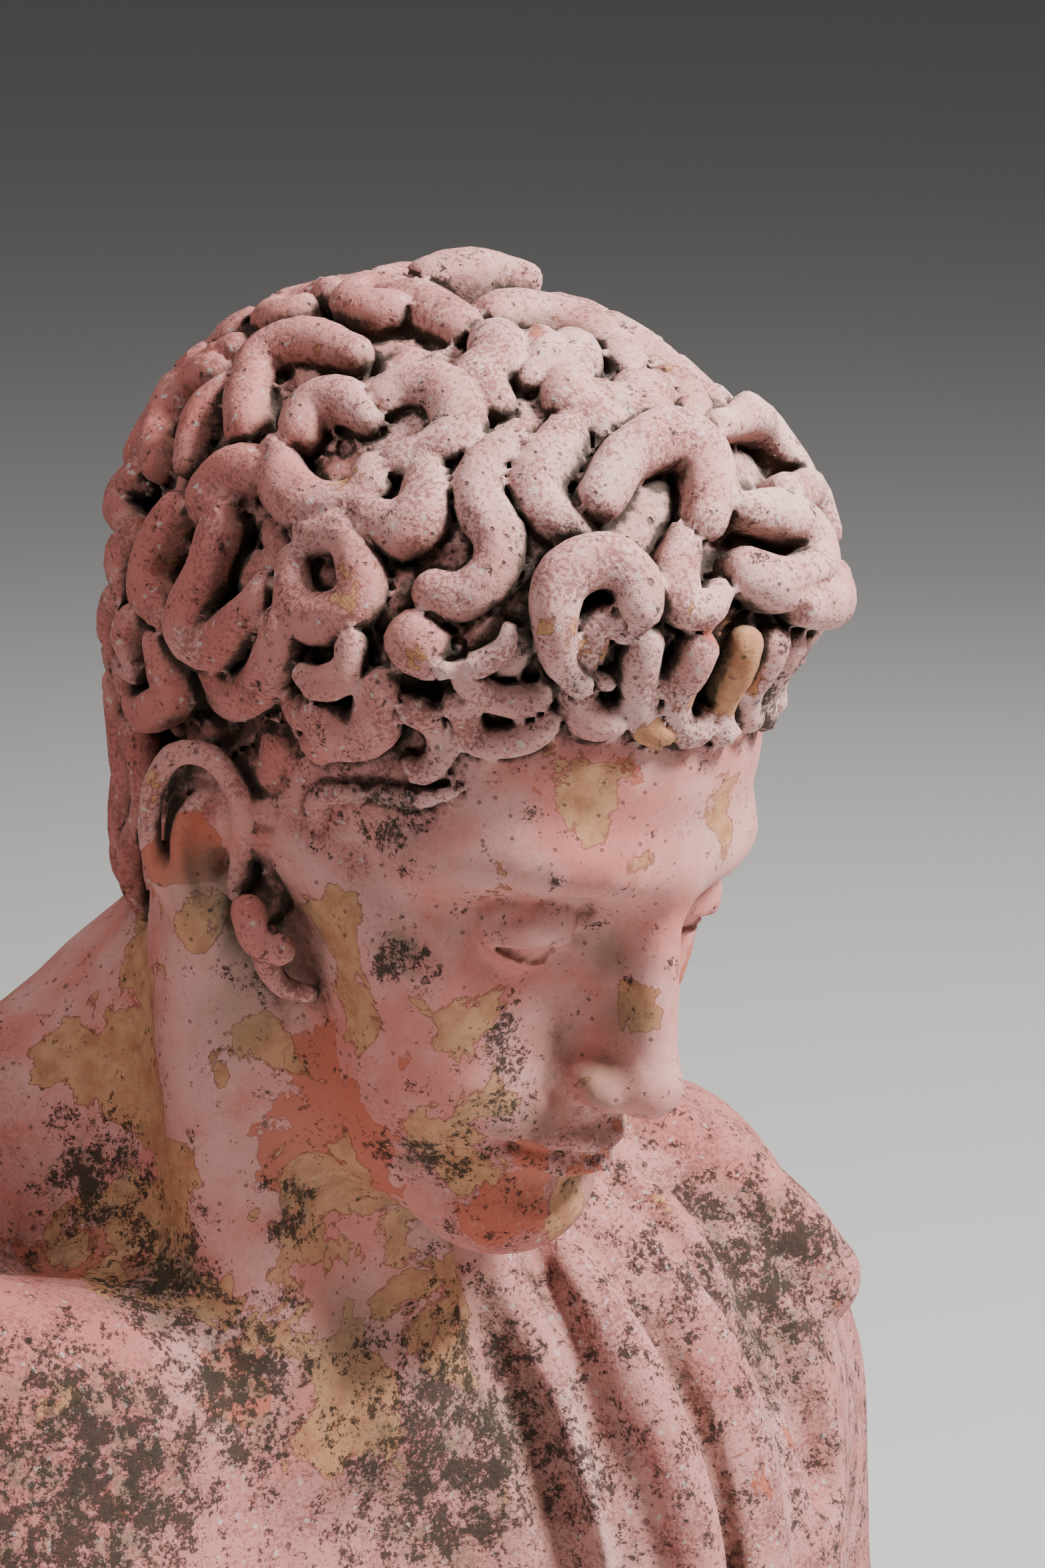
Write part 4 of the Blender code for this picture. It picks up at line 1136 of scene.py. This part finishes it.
def peeled_coat_group():
    """Patches where the coat has come away, with a crinkled rim."""
    tree, given, out = new_group("peeled_coat", ("Vector", "Amount", "Scale"), ("Patch", "Rim"))
    bare = noise(tree, given["Vector"], given["Scale"], 9, 0.60, 0.4)
    level = plus(tree, bare, times(tree, given["Amount"], 0.25))
    tree.links.new(ramp(tree, level, 0.665, 0.672), out["Patch"])
    off = calc(tree, 'ABSOLUTE', less(tree, level, 0.665))
    tree.links.new(less(tree, 1.0, ramp(tree, off, 0.001, 0.009)), out["Rim"])
    return tree


def crevice_dirt_and_shade_group():
    """Dirt and painted shade that lie in the carved lines and hollows."""
    tree, given, out = new_group("crevice_dirt_and_shade", ("Vector", "Crevice", "Recess", "Shelter"), ("Dirt and Shade", "Film"))
    fine = less(tree, noise(tree, given["Vector"], 240, 6, 0.75), 0.5)
    deep = plus(tree, times(tree, given["Crevice"], 0.60), times(tree, given["Recess"], 0.40))
    deep = plus(tree, deep, times(tree, given["Shelter"], 0.25))
    tree.links.new(ramp(tree, plus(tree, deep, times(tree, fine, 1.5)), 0.45, 1.05), out["Dirt and Shade"])
    tree.links.new(ramp(tree, plus(tree, given["Shelter"], fine), 0.15, 0.8), out["Film"])
    return tree


def black_mottling_group():
    """Crusty black-brown growth in ragged spots, denser as the amount rises."""
    tree, given, out = new_group("black_mottling", ("Vector", "Amount"), ("Mottle", "Height"))
    vector = given["Vector"]
    spots = times(tree, noise(tree, vector, 110, 5, 0.7), 0.5)
    crumbs = times(tree, noise(tree, vector, 600, 5, 0.85), 0.5)
    level = plus(tree, plus(tree, spots, crumbs), times(tree, given["Amount"], 0.105))
    mottle = ramp(tree, level, 0.580, 0.625)
    tree.links.new(mottle, out["Mottle"])
    tree.links.new(times(tree, mottle, crumbs), out["Height"])
    return tree


def new_material(name, roughness=0.5):
    """A material with its node tree and its shader's inputs."""
    material = bpy.data.materials.new(name)
    material.use_nodes = True
    tree = material.node_tree
    shader = tree.nodes["Principled BSDF"].inputs
    shader["Roughness"].default_value = roughness
    return material, tree, shader


def bumped(tree, shader, height, strength, distance):
    bump = add_node(tree, 'ShaderNodeBump', {"Height": height, "Strength": strength, "Distance": distance})
    tree.links.new(bump.outputs["Normal"], shader["Normal"])


def weathered_stone(colours):
    """The coat on face, neck and chest, the coarser stone elsewhere, and all that lies on them."""
    material, tree, shader = new_material("weathered_stone")
    vector = add_node(tree, 'ShaderNodeTexCoord').outputs["Object"]
    grain = placed(tree, stone_grain_group(), {"Vector": vector})
    peeling = peeled_coat_group()
    coat = measured(tree, "coat")
    rough = less(tree, 1.0, coat)

    # Pale stone with painted light on the side that faces the key light, smooth coat, dark grains and pale
    # grit
    patchy = ramp(tree, noise(tree, vector, 28, 6, 0.6), 0.38, 0.62)
    # The pale attribute carries painted light on the side that faces the key light
    pale = times(tree, measured(tree, "pale"), plus(tree, 0.45, times(tree, patchy, 0.55)))
    raised = times(tree, measured(tree, "raised"), 0.5)
    stone = blended(tree, plus(tree, pale, raised, clamp=True), colours.rose, colours.pale)
    skin = blended(tree, times(tree, patchy, 0.55), colours.skin, colours.pale)
    colour_now = blended(tree, coat, stone, skin)
    speckle = times(tree, grain["Speckle"], plus(tree, 0.14, times(tree, rough, 0.62)))
    colour_now = blended(tree, speckle, colour_now, colours.grain)
    grit = times(tree, grain["Grit"], times(tree, rough, 0.55))
    colour_now = blended(tree, grit, colour_now, colours.fleck)

    # The coat worn through to salmon, and peeled off down to the bare body
    worn_through = placed(tree, peeling, {"Vector": vector, "Scale": 34.0,
                                          "Amount": measured(tree, "salmon")})
    colour_now = blended(tree, times(tree, worn_through["Patch"], 0.8), colour_now, colours.salmon)
    off = vector_calc(tree, 'ADD', vector, (0.31, 0.17, 0.23))
    bare = placed(tree, peeling, {"Vector": off, "Scale": 42.0, "Amount": measured(tree, "tan")})
    shade = ramp(tree, noise(tree, off, 160, 5, 0.65), 0.35, 0.7)
    bare_body = blended(tree, shade, colours.tan, colours.bare)
    colour_now = blended(tree, bare["Patch"], colour_now, bare_body)
    colour_now = blended(tree, times(tree, bare["Rim"], 0.55), colour_now, colours.salmon)

    # Film, grime, dirt with painted shade in the hollows, and growth
    dirt_and_shade = placed(tree, crevice_dirt_and_shade_group(), {"Vector": vector, "Crevice": measured(tree, "crevice"),
                                               "Recess": measured(tree, "recess"),
                                               "Shelter": measured(tree, "shelter")})
    green = plus(tree, times(tree, dirt_and_shade["Film"], 0.30), times(tree, measured(tree, "green"), 0.50),
                 clamp=True)
    colour_now = blended(tree, green, colour_now, colours.green)
    grime = times(tree, ramp(tree, measured(tree, "soil"), 0.35, 1.1),
                  ramp(tree, noise(tree, vector, 130, 6, 0.7), 0.40, 0.62))
    colour_now = blended(tree, times(tree, grime, 0.75), colour_now, colours.green)
    # Crevices, recesses and sheltered places darkened towards black: dirt and painted shade
    dirt_and_shade_amount = times(tree, dirt_and_shade["Dirt and Shade"], less(tree, 0.92, times(tree, coat, 0.35)))
    colour_now = blended(tree, dirt_and_shade_amount, colour_now, colours.dirt_and_shade)
    growth = placed(tree, black_mottling_group(), {"Vector": vector, "Amount": measured(tree, "soil")})
    colour_now = blended(tree, times(tree, growth["Mottle"], 0.92), colour_now, colours.dirt_and_shade)
    colour_now = blended(tree, times(tree, grain["Pore"], 0.6), colour_now, colours.dirt_and_shade)
    tree.links.new(colour_now, shader["Base Color"])

    # Gloss and relief
    matt = less(tree, 0.92, times(tree, coat, 0.22))
    tree.links.new(calc(tree, 'MAXIMUM', matt, times(tree, growth["Mottle"], 0.95)), shader["Roughness"])
    fine = times(tree, grain["Height"], plus(tree, 0.25, times(tree, rough, 0.75)))
    steps = times(tree, plus(tree, bare["Patch"], worn_through["Patch"]), -0.35)
    curled = times(tree, bare["Rim"], 0.25)
    height = plus(tree, plus(tree, fine, steps), plus(tree, curled, growth["Height"]))
    bumped(tree, shader, height, 0.9, 0.0009)
    return material


def lichen_crust(colours):
    """Grey-white crust with a greenish tinge."""
    material, tree, shader = new_material("lichen_crust", 0.95)
    vector = add_node(tree, 'ShaderNodeTexCoord').outputs["Object"]
    tint = ramp(tree, noise(tree, vector, 500, 4, 0.7), 0.35, 0.65)
    tree.links.new(blended(tree, tint, colours.lichen, colours.green), shader["Base Color"])
    bumped(tree, shader, noise(tree, vector, 1500, 3, 0.7), 0.6, 0.0004)
    return material


def lichen_tree(material):
    """Scatters flat grains over a surface, as densely as its lichen attribute says."""
    tree = bpy.data.node_groups.new("lichen_grains", 'GeometryNodeTree')
    for label, way, kind in (("Geometry", 'INPUT', 'Geometry'), ("Grain Size", 'INPUT', 'Float'),
                             ("Grains per Area", 'INPUT', 'Float'), ("Geometry", 'OUTPUT', 'Geometry')):
        tree.interface.new_socket(label, in_out=way, socket_type='NodeSocket' + kind)
    given = tree.nodes.new('NodeGroupInput').outputs
    spread = add_node(tree, 'GeometryNodeInputNamedAttribute', {"Name": "lichen"}, data_type='FLOAT')
    spots = add_node(tree, 'GeometryNodeDistributePointsOnFaces',
                     {"Mesh": given["Geometry"], "Seed": 5,
                      "Density": times(tree, spread.outputs[0], given["Grains per Area"])})
    grain = add_node(tree, 'GeometryNodeMeshIcoSphere', {"Radius": 1.0, "Subdivisions": 2})
    flat = add_node(tree, 'GeometryNodeTransform', {"Geometry": grain.outputs["Mesh"], "Scale": (1, 1, 0.45)})
    size = add_node(tree, 'FunctionNodeRandomValue', {"Min": 0.4, "Max": 1.4, "Seed": 9}, data_type='FLOAT')
    grains = add_node(tree, 'GeometryNodeInstanceOnPoints',
                      {"Points": spots.outputs["Points"], "Instance": flat.outputs["Geometry"],
                       "Rotation": spots.outputs["Rotation"],
                       "Scale": times(tree, size.outputs[1], given["Grain Size"])})
    real = add_node(tree, 'GeometryNodeRealizeInstances', {"Geometry": grains.outputs["Instances"]})
    smooth = add_node(tree, 'GeometryNodeSetShadeSmooth', {"Geometry": real.outputs["Geometry"]})
    made = add_node(tree, 'GeometryNodeSetMaterial', {"Geometry": smooth.outputs[0], "Material": material})
    tree.links.new(made.outputs["Geometry"], tree.nodes.new('NodeGroupOutput').inputs["Geometry"])
    return tree


class BUST_OT_lichen(bpy.types.Operator):
    """Scatter small grains of lichen where the carved stone is marked for them"""
    bl_idname = "bust.lichen"
    bl_label = "Add Lichen"

    def execute(self, context):
        sizes = context.scene.bust_sizes
        tree = lichen_tree(lichen_crust(context.scene.bust_colours))
        values = {"Grain Size": sizes.lichen_size, "Grains per Area": sizes.lichen_density}
        holder = linked("lichen_holder", bpy.data.objects[PIECE].data)
        scatter = holder.modifiers.new("lichen", 'NODES')
        scatter.node_group = tree
        for socket in tree.interface.items_tree:
            if socket.in_out == 'INPUT' and socket.name in values:
                scatter[socket.identifier] = values[socket.name]
        mesh = evaluated(holder)
        bpy.data.objects.remove(holder)
        mesh.name = "lichen"
        if not len(mesh.polygons):
            raise RuntimeError("the lichen has no grains")
        piece = linked("lichen", mesh)
        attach(piece, "root")
        return {'FINISHED'}


class BUST_OT_stage(bpy.types.Operator):
    """Add the studio floor, the lights and the camera"""
    bl_idname = "bust.stage"
    bl_label = "Set Up Stage"

    def execute(self, context):
        scene = context.scene
        body = bmesh.new()
        bmesh.ops.create_grid(body, x_segments=1, y_segments=1, size=scene.bust_sizes.floor_size / 2)
        mesh = bpy.data.meshes.new("studio_floor")
        body.to_mesh(mesh)
        body.free()
        floor = linked("studio_floor", mesh)
        material, _, shader = new_material("studio_floor", 0.9)
        shader["Base Color"].default_value = (*scene.bust_colours.floor, 1)
        mesh.materials.append(material)

        camera = bpy.data.objects.new("camera", bpy.data.cameras.new("camera"))
        scene.collection.objects.link(camera)
        camera.matrix_world = aimed(CAMERA_AZIMUTH, CAMERA_RISE, CAMERA_DISTANCE)
        camera.data.sensor_fit = 'VERTICAL'
        camera.data.sensor_height = 36
        camera.data.lens = scene.bust_sizes.lens
        scene.camera = camera

        for name, azimuth, rise, distance, size, power in LIGHTS:
            light = bpy.data.lights.new(name, 'AREA')
            light.size = size
            light.energy = power
            holder = bpy.data.objects.new(name, light)
            scene.collection.objects.link(holder)
            holder.matrix_world = aimed(azimuth, rise, distance)
        world = bpy.data.worlds.new("studio")
        world.use_nodes = True
        air = world.node_tree.nodes["Background"].inputs
        air["Color"].default_value, air["Strength"].default_value = STUDIO_AIR, STUDIO_GLOW
        scene.world = world
        return {'FINISHED'}


def aimed(azimuth, rise, distance):
    """Placement at a distance from the target, looking at it."""
    turn, rise = math.radians(azimuth), math.radians(rise)
    way = Vector((math.sin(turn) * math.cos(rise), -math.cos(turn) * math.cos(rise), math.sin(rise)))
    look = (-way).to_track_quat('-Z', 'Y').to_matrix().to_4x4()
    return Matrix.Translation(TARGET + way * distance) @ look


class BUST_PT_panel(bpy.types.Panel):
    """Sizes, colours and steps of the bust"""
    bl_idname = "BUST_PT_panel"
    bl_label = "Weathered Bust"
    bl_space_type = 'VIEW_3D'
    bl_region_type = 'UI'
    bl_category = "Bust"

    def draw(self, context):
        layout = self.layout
        for group in (context.scene.bust_sizes, context.scene.bust_colours):
            column = layout.column(align=True)
            for key in group.__annotations__:
                column.prop(group, key)
        for step in STEPS:
            layout.operator(step.bl_idname)


STEPS = (BUST_OT_carve, BUST_OT_lichen, BUST_OT_stage)
CLASSES = (BustSizes, BustColours, *STEPS, BUST_PT_panel)


def register():
    for item in CLASSES:
        bpy.utils.register_class(item)
    bpy.types.Scene.bust_sizes = PointerProperty(type=BustSizes)
    bpy.types.Scene.bust_colours = PointerProperty(type=BustColours)


def unregister():
    del bpy.types.Scene.bust_colours
    del bpy.types.Scene.bust_sizes
    for item in reversed(CLASSES):
        bpy.utils.unregister_class(item)


def main():
    register()
    bpy.ops.bust.carve()
    bpy.ops.bust.lichen()
    bpy.ops.bust.stage()


if __name__ == "__main__":
    main()
